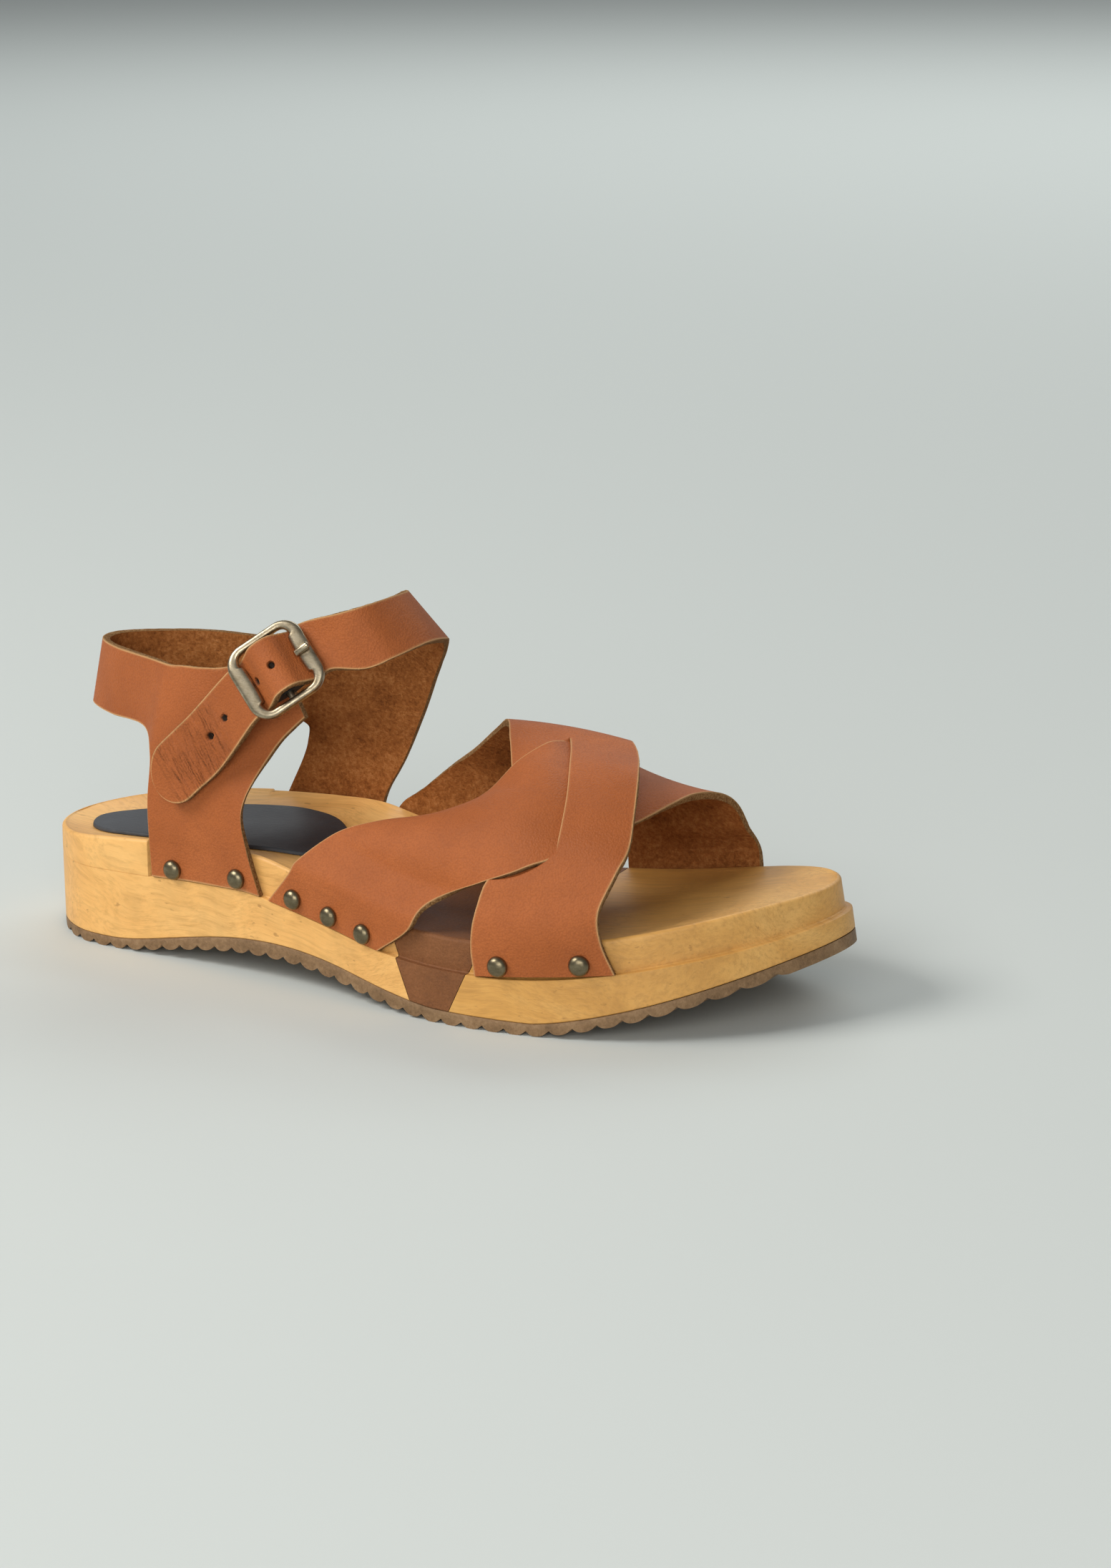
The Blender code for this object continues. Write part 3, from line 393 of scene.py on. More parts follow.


# %% [markdown]
# ## Wood, rubber and pad
# The block is pale poplar: cloudy figure, fine fibres that run from heel to toe and darker handling marks.
# The toe block has its own darker copy with stronger fibre, which is painted shade for its shaded side.
# The rubber sheet is a marbled brown, the insert a darker one, and the pad a slate grey film. Noise that is
# stretched along the sole gives fibres on every face, as in a solid block, where a wrapped image would smear.

# %% Wood and rubber finishes
def pale_wood(name, toe):
    f = Finish(name, specular_ior_level=0.4)
    p = f.place()
    warp = f.noise(p, 14.0, 2.0, 0.5)
    shift = f.node("CombineXYZ", {}, {1: warp, 2: warp})
    bend = f.node("VectorMath", {"operation": "MULTIPLY_ADD"}, {0: shift, 1: (0.0, 0.05, 0.05), 2: p})
    fibre = f.noise(f.stretch(bend, (40.0, 900.0, 900.0)), 1.0, 4.0, 0.65)
    figure = f.noise(f.stretch(bend, (16.0, 60.0, 60.0)), 1.0, 4.0, 0.6)
    blotch = f.noise(p, 30.0, 5.0, 0.65)
    # Painted shade: the toe block takes darker stops and stronger fibre than the heel, for the toe's side in
    # shade.
    if toe:
        stops = [(0.28, (0.46, 0.220, 0.050)), (0.50, (0.67, 0.350, 0.090)), (0.74, (0.82, 0.49, 0.16))]
    else:
        stops = [(0.28, (0.62, 0.305, 0.082)), (0.50, (0.82, 0.450, 0.140)), (0.74, (0.92, 0.57, 0.21))]
    tone = f.ramp(figure * 0.6 + blotch * 0.4, stops)
    speck = f.noise(f.stretch(p, (260.0, 620.0, 620.0)), 1.0, 2.0, 0.5)
    tone = f.mix(f.span(fibre, 0.45, 0.72, 0.0, 0.62 if toe else 0.45), tone, (0.46, 0.235, 0.062))
    tone = f.mix(f.span(blotch, 0.55, 0.74, 0.0, 0.45), tone, (0.40, 0.20, 0.050))
    tone = f.mix(f.span(speck, 0.68, 0.76, 0.0, 0.50), tone, (0.28, 0.13, 0.035))
    return f.wear(tone, f.span(figure, 0.3, 0.8, 0.42, 0.58), normal=f.relief(fibre, 0.00035, 0.5))


def brown_rubber(name, dark, mid, light, grit):
    f = Finish(name, specular_ior_level=0.35)
    p = f.place()
    marble = f.noise(p, 85.0, 5.0, 0.7)
    fine = f.noise(p, grit, 3.0, 0.7)
    tone = f.ramp(marble * 0.6 + fine * 0.4, [(0.30, dark), (0.52, mid), (0.74, light)])
    return f.wear(tone, f.span(marble, 0.3, 0.7, 0.55, 0.72), normal=f.relief(fine, 0.0005, 0.6))


def slate_pad():
    f = Finish("slate_pad", specular_ior_level=0.4)
    p = f.place()
    grain = f.noise(f.stretch(p, (500.0, 1400.0, 900.0)), 1.0, 3.0, 0.6)
    scuff = f.noise(p, 60.0, 4.0, 0.7)
    tone = f.ramp(scuff, [(0.35, (0.028, 0.031, 0.036)), (0.60, (0.045, 0.049, 0.056)),
                          (0.80, (0.075, 0.080, 0.088))])
    return f.wear(tone, f.span(scuff, 0.3, 0.8, 0.45, 0.65), normal=f.relief(grain, 0.0003, 0.6))


WOOD_HEEL = pale_wood("poplar_heel", False)
WOOD_TOE_SHADED = pale_wood("poplar_toe_shaded", True)
SHEET_RUBBER = brown_rubber("marbled_sheet", (0.115, 0.062, 0.026), (0.235, 0.138, 0.065),
                            (0.37, 0.235, 0.125), 900.0)
WEDGE_RUBBER = brown_rubber("brown_wedge", (0.130, 0.045, 0.013), (0.210, 0.078, 0.024),
                            (0.29, 0.115, 0.041), 1400.0)
PAD_FILM = slate_pad()


# %% [markdown]
# ## Metal
# The buckle is cast and silvered, with a warm dark patina. The dome heads are antique brass. One shader
# serves for both: noise mixes the tarnish with the worn bright metal and sets the roughness with it.

# %% Metal finishes
def old_metal(name, dark, bright, rough):
    f = Finish(name, metallic=1.0)
    p = f.place()
    patina = f.noise(p, 260.0, 5.0, 0.7)
    scratch = f.noise(f.stretch(p, (300.0, 1800.0, 1800.0)), 1.0, 3.0, 0.6)
    worn = f.span(patina * 0.7 + scratch * 0.3, 0.28, 0.62)
    tone = f.mix(worn, dark, bright)
    return f.wear(tone, f.span(worn, 0.0, 1.0, rough + 0.14, rough), normal=f.relief(scratch, 0.00004, 0.4))


SILVER = old_metal("antique_silver", (0.13, 0.098, 0.055), (0.50, 0.425, 0.300), 0.27)
BRASS = old_metal("antique_brass", (0.10, 0.080, 0.045), (0.24, 0.20, 0.125), 0.28)
# Painted shade: the keeper is near black, standing in for the shadow in the space under the strap's arch.
KEEPER_SHADE = brown_rubber("keeper_painted_shade", (0.006, 0.006, 0.006), (0.012, 0.011, 0.010),
                           (0.024, 0.021, 0.018), 1200.0)


# %% [markdown]
# ## The wooden sole
# One closed loop goes round the sole, and the block is that loop repeated at a few insets and heights: the
# lower wall, the routed rebate, the upper wall, the eased edge and the hollow of the footbed. Rows are
# closer together at the two tips, because the loop's angle runs evenly round.

# %% Sole loops
AROUND = 720
turn = np.linspace(0, 2 * np.pi, AROUND, endpoint=False)
loop_along = (HEEL_BACK + TOE_TIP) / 2 - (TOE_TIP - HEEL_BACK) / 2 * np.cos(turn)
loop_centre, loop_half = outline_at(loop_along)
loop_flat = np.stack([loop_along + HEEL_CENTRE, loop_centre - np.sign(np.sin(turn)) * loop_half], 1)
tangent = np.roll(loop_flat, -1, 0) - np.roll(loop_flat, 1, 0)
tangent /= np.linalg.norm(tangent, axis=1)[:, None]
loop_inward = np.stack([-tangent[:, 1], tangent[:, 0]], 1)


def toe_lean(along):
    """How far the wall leans back for each unit of its height. It grows from the ball to the toe tip."""
    return TOE_LEAN * np.clip((along - SPRING_START) / (TOE_TIP - SPRING_START), 0, None)


def sole_loop(inset, z):
    """The outline moved inwards by inset, at height z. At the toe it leans back with its height."""
    flat = loop_flat + loop_inward * np.broadcast_to(inset, AROUND)[:, None]
    lean = toe_lean(loop_along) * (z - underside(loop_along))
    return np.column_stack([flat[:, 0] - lean, flat[:, 1], z])


def cap_loop(loop, height, steps):
    """Rows from a loop to its middle line: each point moves straight across to the centre."""
    rows = []
    for t in np.linspace(0, 1, steps + 1)[1:]:
        y = loop[:, 1] + (loop_centre - loop[:, 1]) * t
        z = height(loop_along, y) if height else loop[:, 2]
        rows.append(np.column_stack([loop[:, 0], y, z]))
    return rows


# %% [markdown]
# ## Two blocks and a wedge
# The real sole is a shaped block sawn in two behind the ball, with a rubber wedge between that lets it bend.
# Three separate shapes could leave steps where they meet. So the whole block is made once and cut with
# slanted planes, and all three pieces keep one surface.

# %% Wooden blocks
GLUE_LINE = 0.12                    # wood above the rubber
EDGE_IN, EDGE_DOWN = 1.1, 1.0       # how far the eased top edge reaches in and down
CUT_LOW, CUT_HIGH = 4.3, 26.0       # heights of the two lines that fix a slanted cut


def sole_block():
    """Heights and insets of the loops, from the glue line up to the eased edge, then across the footbed."""
    base = rubber_top(loop_along) + GLUE_LINE
    step, top = table_at(LEDGE, loop_along), table_at(FOOTBED, loop_along)
    cut = REBATE * smooth(REBATE_START - 0.8, REBATE_START + 0.2, loop_along)
    wall = top - step
    loops = cap_loop(sole_loop(0.25, base), None, 1)[::-1]
    loops += [sole_loop(0.25, base), sole_loop(0.0, base + 0.3)]
    loops += [sole_loop(0.0, base + (step - base) * t) for t in (0.3, 0.6, 0.9)]
    corner = cut - np.where(cut > 0.6, 0.35, 0.0)
    loops += [sole_loop(0.06, step - 0.12), sole_loop(0.25, step), sole_loop(corner, step)]
    loops += [sole_loop(cut, step + 0.3), sole_loop(cut, step + wall * 0.35)]
    loops.append(sole_loop(cut + 0.05, step + wall * 0.7))
    for angle in np.radians([0, 22, 45, 68, 90]):
        eased_in, eased_down = EDGE_IN * (1 - math.cos(angle)), EDGE_DOWN * (1 - math.sin(angle))
        loops.append(sole_loop(cut + 0.05 + eased_in, top - eased_down))
    loops += cap_loop(loops[-1], footbed, 16)
    return np.concatenate(loops), grid_faces(len(loops), AROUND, wrap_columns=True)


def slanted(bm, low, high, shift, keep_front):
    """Cut with the plane through one line at the rubber and one at the footbed, and close the cut."""
    foot = Vector(((low + HEEL_CENTRE + shift) * MM, 0.0, CUT_LOW * MM))
    head = Vector(((high + HEEL_CENTRE + shift) * MM, 0.0, CUT_HIGH * MM))
    normal = (head - foot).cross(Vector((0.0, 1.0, 0.0))).normalized()
    normal = -normal if normal.x < 0 else normal
    geometry = [*bm.verts, *bm.edges, *bm.faces]
    done = bmesh.ops.bisect_plane(bm, geom=geometry, plane_co=foot, plane_no=normal, dist=1e-7,
                                  clear_inner=keep_front, clear_outer=not keep_front)
    rim = [e for e in done["geom_cut"] if isinstance(e, bmesh.types.BMEdge)]
    bmesh.ops.triangle_fill(bm, edges=rim, use_beauty=True)


REAR_CUT, FRONT_CUT = (116.0, 107.0), (129.3, 140.0)
points, faces = sole_block()
for name, finish, cuts in (
        ("wood_heel", WOOD_HEEL, [(*REAR_CUT, -0.1, False)]),
        ("wedge", WEDGE_RUBBER, [(*REAR_CUT, 0.1, True), (*FRONT_CUT, -0.1, False)]),
        ("wood_toe", WOOD_TOE_SHADED, [(*FRONT_CUT, 0.1, True)])):
    piece = make_piece(name, points, faces, [finish], sharp=30.0)
    bm = bmesh.new()
    bm.from_mesh(piece.data)
    for low, high, shift, keep_front in cuts:
        slanted(bm, low, high, shift, keep_front)
    bmesh.ops.recalc_face_normals(bm, faces=bm.faces)
    bm.to_mesh(piece.data)
    bm.free()
    piece.data.shade_smooth()
    piece.data.set_sharp_from_angle(angle=math.radians(32))
    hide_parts({"wood_heel": "sole_heel", "wedge": "flex_insert", "wood_toe": "sole_toe"}[name])

# %% [markdown]
# ## The rubber sheet
# A thin moulded sheet is glued under the wood. Its ribs run straight across, so the side shows scallops.
# They could be cut with Booleans, but the underside is just a height along the sole: it rises from each
# crest with the distance to the power 2.6, which gives a round lobe and a narrow groove.

# %% Outsole
def rib_notch(along):
    """Height of the underside above the crest line: zero on a crest, RIB_DEPTH in the groove."""
    place = (along + HEEL_CENTRE) / RIB_PITCH
    off = np.abs(place - np.round(place)) * 2
    inside = (along > HEEL_BACK + 3.0) & (along < TOE_TIP - 8.0)
    return RIB_DEPTH * off**2.6 * inside


def outsole_piece():
    """Stations at twelve to a rib, outer side then inner side, joined by strips across."""
    fine = np.arange(HEEL_BACK + 3.0, TOE_TIP - 6.0, RIB_PITCH / 12)
    heel = HEEL_BACK + 3.0 * (1 - np.cos(np.linspace(0, np.pi / 2, 9)[:-1]))
    toe = TOE_TIP - 6.0 * (1 - np.cos(np.linspace(0, np.pi / 2, 13)[:-1]))
    along = np.sort(np.concatenate([heel, fine, toe]))
    centre, half = outline_at(along)
    low = underside(along) + rib_notch(along)
    high = rubber_top(along)
    lean = toe_lean(along)
    middle = low + (high - low) * 0.5
    section = [(0.0, -1.0, low), (0.0, -1.0, middle), (0.0, -1.0, high - 0.25), (0.25, -1.0, high),
               (0.25, 1.0, high), (0.0, 1.0, high - 0.25), (0.0, 1.0, middle), (0.0, 1.0, low)]
    ring = []
    for inset, side, z in section:
        ring.append(np.column_stack([along + HEEL_CENTRE - lean * (z - underside(along)),
                                     centre + side * np.maximum(half - inset, 0.0), z]))
    return np.stack(ring, 1).reshape(-1, 3), grid_faces(len(along), len(section), wrap_columns=True)


points, faces = outsole_piece()
outsole = make_piece("outsole_sheet", points, faces, [SHEET_RUBBER], sharp=50.0)
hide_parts("outsole")


# %% [markdown]
# ## The heel pad
# An egg-shaped film lies in the hollow of the footbed. It is a grid over its own outline, lifted by its
# thickness, with a rim that turns down to the wood.

# %% Pad
def heel_pad():
    """Rows across the egg from end to end. The last points of each row drop to the wood."""
    share = (1 - np.cos(np.linspace(0, np.pi, 120))) / 2
    along = PAD[0, 0] + (PAD[-1, 0] - PAD[0, 0]) * share
    centre = curve(PAD[:, 0], PAD[:, 1], along)
    half = np.sqrt(np.maximum(curve(PAD[:, 0], PAD[:, 2]**2, along), 0.0))
    across = np.sin(np.linspace(-np.pi / 2, np.pi / 2, 61))
    y = centre[:, None] + half[:, None] * across[None, :]
    x = np.broadcast_to(along[:, None], y.shape)
    rim = np.minimum(1.0, (half[:, None] * (1 - np.abs(across))) / 0.7)
    z = footbed(x, y) + 0.35 + 0.95 * np.sqrt(rim * (2 - rim))
    top = np.stack([x + HEEL_CENTRE, y, z], -1)
    under = np.stack([x + HEEL_CENTRE, y, footbed(x, y) + 0.25], -1)
    faces = grid_faces(*y.shape)
    rows, columns = y.shape
    points = np.concatenate([top.reshape(-1, 3), under.reshape(-1, 3)])
    count = rows * columns
    edge = np.concatenate([np.arange(rows) * columns, np.arange(rows)[::-1] * columns + columns - 1])
    following = np.roll(edge, -1)
    sides = np.stack([edge, following, following + count, edge + count], 1)
    return points, np.concatenate([faces, faces + count, sides])


points, faces = heel_pad()
pad = make_piece("heel_pad", points, faces, [PAD_FILM], sharp=60.0)
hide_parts("insole_pad")

# %% [markdown]
# ## Strap tables
# A strap is ruled between its two cut edges. Each row holds a point of the rear edge, a point of the front
# edge and the bulge of the leather between them.

# %% Strap tables
PATTERN_BASE = 15.6
STRAP_A = [
    (73.0, -37.0, 22.5, 121.0, -45.0, 18.0, 0.0), (83.0, -34.0, 30.5, 137.0, -45.5, 25.5, 1.0),
    (95.0, -30.0, 34.5, 148.0, -43.5, 30.0, 3.0), (109.5, -24.0, 37.0, 158.5, -38.0, 35.5, 6.0),
    (121.0, -16.0, 42.0, 167.0, -28.0, 38.5, 8.0), (129.0, -9.0, 51.5, 171.0, -15.0, 40.0, 7.0),
    (136.0, 0.0, 56.5, 173.0, 0.0, 41.5, 2.0), (138.0, 10.0, 55.5, 174.5, 12.0, 42.0, -1.5),
    (138.0, 22.0, 50.0, 176.5, 24.0, 39.5, -2.0), (138.0, 32.0, 40.0, 178.0, 32.0, 34.5, -1.0),
    (138.5, 37.0, 27.5, 179.0, 38.0, 25.5, 0.0)]
STRAP_B = [
    (138.5, -47.5, 23.5, 173.5, -44.0, 21.5, 0.0), (140.0, -42.0, 29.5, 176.0, -39.0, 31.0, 1.0),
    (138.0, -34.0, 36.5, 177.0, -33.0, 37.0, 3.0), (134.0, -22.0, 44.0, 174.5, -25.0, 44.5, 3.0),
    (127.0, -10.0, 49.0, 169.0, -12.0, 52.5, 2.0), (119.0, 3.0, 54.5, 161.0, 3.0, 54.0, 1.0),
    (112.0, 14.0, 56.5, 153.0, 14.0, 54.5, 1.0), (103.0, 23.0, 51.0, 146.0, 24.0, 49.5, 1.0),
    (92.0, 29.5, 42.5, 138.0, 31.0, 42.5, 1.0), (82.0, 33.5, 35.5, 129.0, 37.0, 32.5, 0.0),
    (70.0, 36.0, 26.0, 119.0, 38.0, 21.5, 0.0)]
STRAP_FEET = {
    # rear foot, front foot, rear above, front above
    "A_outer": (62.0, 104.5, 70.0, 115.5), "A_inner": (139.0, 180.0, 138.5, 180.0),
    "B_outer": (138.0, 178.0, 137.0, 174.5), "B_inner": (57.5, 107.0, 62.0, 112.0)}
QUARTER_FRONT = [
    (73.0, -27.0, 65.0, 63.0, -28.0, 79.0, 0.0), (60.0, -29.0, 52.0, 52.0, -28.5, 76.0, 0.0),
    (52.0, -33.5, 35.0, 41.0, -28.5, 73.3, 0.5), (54.2, -35.6, 22.0, 35.5, -28.5, 72.7, 1.0),
    (58.5, -37.0, 0.0, 32.0, -28.5, 72.45, 2.0)]
QUARTER_FOOT = [
    (58.5, -37.0, 0.0, 32.0, -28.5, 72.45, 2.0), (38.0, -36.0, 0.0, 30.5, -28.2, 72.4, 3.0),
    (18.0, -35.0, 0.0, 28.0, -27.8, 72.3, 2.0)]
HEEL_BAND = [
    (18.0, -35.0, 0.0, 28.0, -27.8, 72.3, 2.0), (17.0, -33.5, 30.0, 25.0, -27.0, 72.0, 1.0),
    (16.0, -30.5, 45.0, 20.0, -25.0, 71.5, 0.5), (8.0, -22.0, 51.0, 11.0, -21.0, 71.5, 0.0),
    (-10.0, -13.5, 51.0, -7.0, -13.0, 71.5, 0.0), (-22.0, -5.5, 51.3, -18.0, -5.0, 71.5, 0.0),
    (-26.0, 1.5, 51.5, -21.5, 2.0, 71.5, 0.0), (-23.5, 8.5, 51.3, -19.5, 8.5, 71.5, 0.0),
    (-12.0, 15.5, 51.0, -10.0, 15.0, 71.5, 0.0), (6.0, 22.0, 50.0, 5.0, 21.0, 71.5, 0.0),
    (24.0, 26.0, 48.0, 24.0, 25.0, 70.5, 0.0), (31.0, 28.0, 44.0, 39.0, 26.0, 71.7, 0.5),
    (30.0, 31.5, 38.0, 45.5, 26.0, 73.5, 0.8), (27.2, 33.5, 31.0, 49.6, 26.0, 75.3, 1.2),
    (21.9, 35.5, 20.0, 52.3, 25.8, 76.7, 1.5), (17.0, 35.0, 0.0, 54.0, 25.5, 77.8, 2.0)]
INNER_FOOT = [
    (17.0, 35.0, 0.0, 54.0, 25.5, 77.8, 2.0), (36.0, 36.0, 0.0, 55.6, 25.3, 79.0, 2.5),
    (53.5, 37.0, 0.0, 57.0, 25.0, 80.0, 2.0)]
ANKLE_STRAP = [
    (53.5, 37.0, 0.0, 57.0, 25.0, 80.0, 2.0), (56.2, 37.0, 22.0, 60.0, 24.5, 82.0, 1.5),
    (63.5, 35.8, 34.0, 64.0, 23.5, 84.5, 1.0), (73.0, 31.5, 50.0, 69.0, 21.5, 87.5, 0.5),
    (82.0, 27.0, 66.0, 75.0, 17.0, 90.5, 0.0), (89.0, 20.0, 76.0, 80.0, 12.0, 92.2, 0.0),
    (94.5, 9.0, 79.8, 84.0, 5.0, 93.5, 0.0), (96.5, -4.0, 81.5, 86.5, -6.0, 94.5, 0.0),
    (93.5, -17.0, 79.5, 85.0, -17.5, 94.0, 0.0), (87.0, -22.5, 76.5, 79.0, -23.0, 92.0, 0.0)]
BUCKLE_PASS = [
    (1.10, -0.17), (0.74, -0.15), (0.50, 0.09), (0.27, 0.38), (0.0, 0.46), (-0.27, 0.38), (-0.50, 0.09),
    (-0.74, -0.15), (-1.10, -0.17)]
STRAP_HALF = 8.4
STRAP_END = [
    (46.0, -37.5, 46.0, 36.5, -37.5, 61.5, 0.0), (38.0, -38.3, 38.5, 28.0, -38.3, 53.5, 0.0)]
BUCKLE_LENGTH, BUCKLE_BREADTH, BUCKLE_BAR = 24.7, 24.3, 2.6
BAR_WIDE, BAR_NARROW, CENTRE_BAR = 4.9, 2.3, 2.2


# %% [markdown]
# ## Straps as ruled, crowned sheets
# The rows are joined by a Catmull-Rom curve, the space between the edges is filled and bulged along the
# sheet's own normal, and the lowest part is laid on the wall of the rebate.

# %% Sheet maths
def unit(v):
    return np.asarray(v, float) / np.linalg.norm(v)


def rebate_wall(along, side):
    centre, half = outline_at(along)
    return centre + side * (half - REBATE + GAP + LEATHER)


def edge_points(table):
    """Rows as world points of both edges and the bulge. up = 0 is a foot on the rebate, at its wall."""
    rows = np.array(table, float)
    ends = []
    for a, c, u in ((0, 1, 2), (3, 4, 5)):
        along, foot = rows[:, a], rows[:, u] == 0.0
        side = np.where(rows[:, c] < 0, -1.0, 1.0)
        y = np.where(foot, rebate_wall(along, side), rows[:, c])
        z = np.where(foot, table_at(LEDGE, along) + GAP, PATTERN_BASE + rows[:, u])
        ends += [along + HEEL_CENTRE, y, z]
    return np.column_stack([*ends, rows[:, 6]])


def catmull(rows, steps):
    """0.5 * (2 p1 + (p2 - p0) t + (2 p0 - 5 p1 + 4 p2 - p3) t^2 + (3 p1 - p0 - 3 p2 + p3) t^3)."""
    padded = np.vstack([2 * rows[0] - rows[1], rows, 2 * rows[-1] - rows[-2]])
    t = (np.arange(1, steps + 1) / steps)[None, :, None]
    p0, p1, p2, p3 = (padded[k:len(rows) - 1 + k, None, :] for k in range(4))
    inner = 0.5 * (2 * p1 + (p2 - p0) * t + (2 * p0 - 5 * p1 + 4 * p2 - p3) * t**2
                   + (3 * p1 - p0 - 3 * p2 + p3) * t**3)
    return np.vstack([rows[:1], inner.reshape(-1, rows.shape[1])])


# %% [markdown]
# ## Normals and the wall of the rebate
# Leather has a real thickness, so its flesh side lies a leather behind the grain side. Solidify could add
# that, but it doesn't know the rebate. Here the normals are averaged over near points, and both sides are
# laid on the wall that the leather is nailed to.

# %% Sheet normals and rebate
def blur(field, reach):
    """Mean over 2 * reach + 1 points along both sides of a grid, with its borders repeated."""
    for axis in (0, 1):
        pad = [(reach, reach) if k == axis else (0, 0) for k in range(3)]
        padded = np.pad(field, pad, "edge")
        parts = [np.take(padded, np.arange(k, k + field.shape[axis]), axis) for k in range(2 * reach + 1)]
        field = sum(parts) / len(parts)
    return field


def sheet_normals(grid, reach=4):
    """Cross product of the steps along the rows and across them, as a mean over near points.

    Where rows fan out, thin slivers count little in the mean. The normals point to the flesh side.
    """
    normal = blur(np.cross(np.gradient(grid, axis=0), np.gradient(grid, axis=1)), reach)
    return normal / np.maximum(np.linalg.norm(normal, axis=2), 1e-12)[:, :, None]


def hold_to_wall(grid, depth, above):
    """Below the footbed the leather lies on the rebate's wall. Above it the hold fades out over `above`."""
    along = np.clip(grid[..., 0] - HEEL_CENTRE, HEEL_BACK, TOE_TIP)
    rise = grid[..., 2] - table_at(FOOTBED, along)
    side = np.where(grid[..., 1] > 0, 1.0, -1.0)
    inside = side * (rebate_wall(along, side) - side * depth - grid[..., 1])
    low = smooth(2.5, -1.5, rise)
    pull = np.maximum(low, smooth(above, 0.0, rise))
    floor_z = np.maximum(grid[..., 2], table_at(LEDGE, along) + GAP)
    y = grid[..., 1] + side * (np.maximum(inside, 0) * pull + np.minimum(inside, 0) * low)
    return np.stack([grid[..., 0], y, np.where(rise < 2.5, floor_z, grid[..., 2])], -1)


def ruled(rows, shares, way=(1.0, 1.0, 1.0)):
    """Lines between the two edges of each row, bulged outwards by 4 s (1 - s) of the crown.

    `way` scales the bulge along x, y and z.
    """
    s = np.asarray(shares)[None, :, None]
    flat = rows[:, None, 0:3] * (1 - s) + rows[:, None, 3:6] * s
    return flat - sheet_normals(flat) * way * 4 * s * (1 - s) * rows[:, None, 6:7]


def thicken(outer, above):
    """Grain side laid on the rebate's wall, and the flesh side a leather behind it."""
    outer = hold_to_wall(outer, 0.0, above)
    return outer, hold_to_wall(outer + sheet_normals(outer) * LEATHER, LEATHER, above)


# %% [markdown]
# ## Cut edges and one closed skin
# A knife leaves a fibrous edge 2.2 mm thick that shows all round the straps. A bevel would be too smooth, so
# each row becomes a closed section of grain side, edge, flesh side and edge, and fibre noise moves the edge.

# %% Strap solids
NO_HOLE = 9.0               # distance that stands for "no hole near"


def even_shares(count):
    """Even steps across a strap with one more close to each edge, for the pale rim."""
    inner = np.linspace(0, 1, count)[1:-1]
    return np.concatenate([[0.0, 0.010], inner, [0.990, 1.0]])


EDGE_DEPTHS = np.array([0.07, 0.22, 0.5, 0.78, 0.93])


def cut_edge(outer, inner, beside, seed):
    """Points of a cut edge from grain to flesh: a shallow bulge of 0.2 mm and two sizes of fibre noise."""
    away = outer - beside
    away /= np.linalg.norm(away, axis=1)[:, None]
    away = blur(away[:, None], 5)[:, 0]
    points = []
    for k, t in enumerate(EDGE_DEPTHS):
        fray = 0.20 * math.sin(math.pi * t)**0.6 + rough_line(len(outer), seed + k, 0.05, 0.022)
        points.append(outer * (1 - t) + inner * t + away * fray[:, None])
    return points


def strap_solid(name, outer, inner, seed=1, torn=None, crease=None, hole=None, rim=None):
    """Wrap a section round each row: grain side, cut edge, flesh side, cut edge. The ends are closed.

    Attributes: cut runs 0 to 1 from grain to flesh. Crease, hole and rim belong to the grain side.
    """
    rows, columns = outer.shape[:2]
    edge = len(EDGE_DEPTHS)
    section = [outer[:, k] for k in range(columns)]
    section += cut_edge(outer[:, -1], inner[:, -1], outer[:, -3], seed)
    section += [inner[:, k] for k in range(columns - 1, -1, -1)]
    section += cut_edge(outer[:, 0], inner[:, 0], outer[:, 2], seed + 20)[::-1]
    solid = np.stack(section, 1)
    count = solid.shape[1]
    cut = [0.0] * columns + [*EDGE_DEPTHS] + [1.0] * columns + [*EDGE_DEPTHS[::-1]]
    number = [0] * (columns - 1) + [2] * (edge + 1) + [1] * (columns - 1) + [2] * (edge + 1)
    numbers = np.tile(number, (rows - 1, 1))
    if torn is not None:
        step = np.linalg.norm(outer[:, torn + 1] - outer[:, torn], axis=1)
        numbers[:, torn] = np.where(step[:-1] > 0.15, 2, 0)
    faces = grid_faces(rows, count, wrap_columns=True).tolist()
    partner = 2 * columns + edge - 1 - np.arange(columns)
    ends = []
    for row in (0, rows - 1):
        start = row * count
        ends += [[start + k, start + k + 1, start + partner[k + 1], start + partner[k]]
                 for k in range(columns - 1)]
        ends.append([start + k for k in range(columns - 1, columns + edge + 1)])
        ends.append([start] + [start + k for k in range(count - 1, count - edge - 2, -1)])
    run = np.concatenate([[0], np.cumsum(np.linalg.norm(np.diff(outer.mean(1), axis=0), axis=1))])
    breadth = np.cumsum(np.linalg.norm(np.diff(outer, axis=1, prepend=outer[:, :1]), axis=2), 1)
    edge_rim = smooth(0.55, 0.10, np.minimum(breadth, breadth[:, -1:] - breadth))
    rim = edge_rim if rim is None else np.maximum(edge_rim, rim)
    v = np.concatenate([breadth, np.repeat(breadth[:, -1:], edge, 1), breadth[:, ::-1],
                        np.repeat(breadth[:, :1], edge, 1)], 1)
    uv = np.stack([np.broadcast_to(run[:, None], v.shape), v], -1).reshape(-1, 2) * MM

    def on_grain(values, rest):
        whole = np.full((rows, count), rest)
        if values is not None:
            whole[:, :columns] = values
        return whole

    attributes = {"cut": np.tile(cut, (rows, 1)), "crease": on_grain(crease, 0.0),
                  "hole": on_grain(hole, NO_HOLE), "rim": on_grain(rim, 0.0)}
    numbers = np.concatenate([numbers.ravel(), np.full(len(ends), 2)])
    piece = make_piece(name, solid.reshape(-1, 3), faces + ends, LEATHER_SET, numbers, attributes, uv,
                       sharp=55.0, merge=False)
    return piece


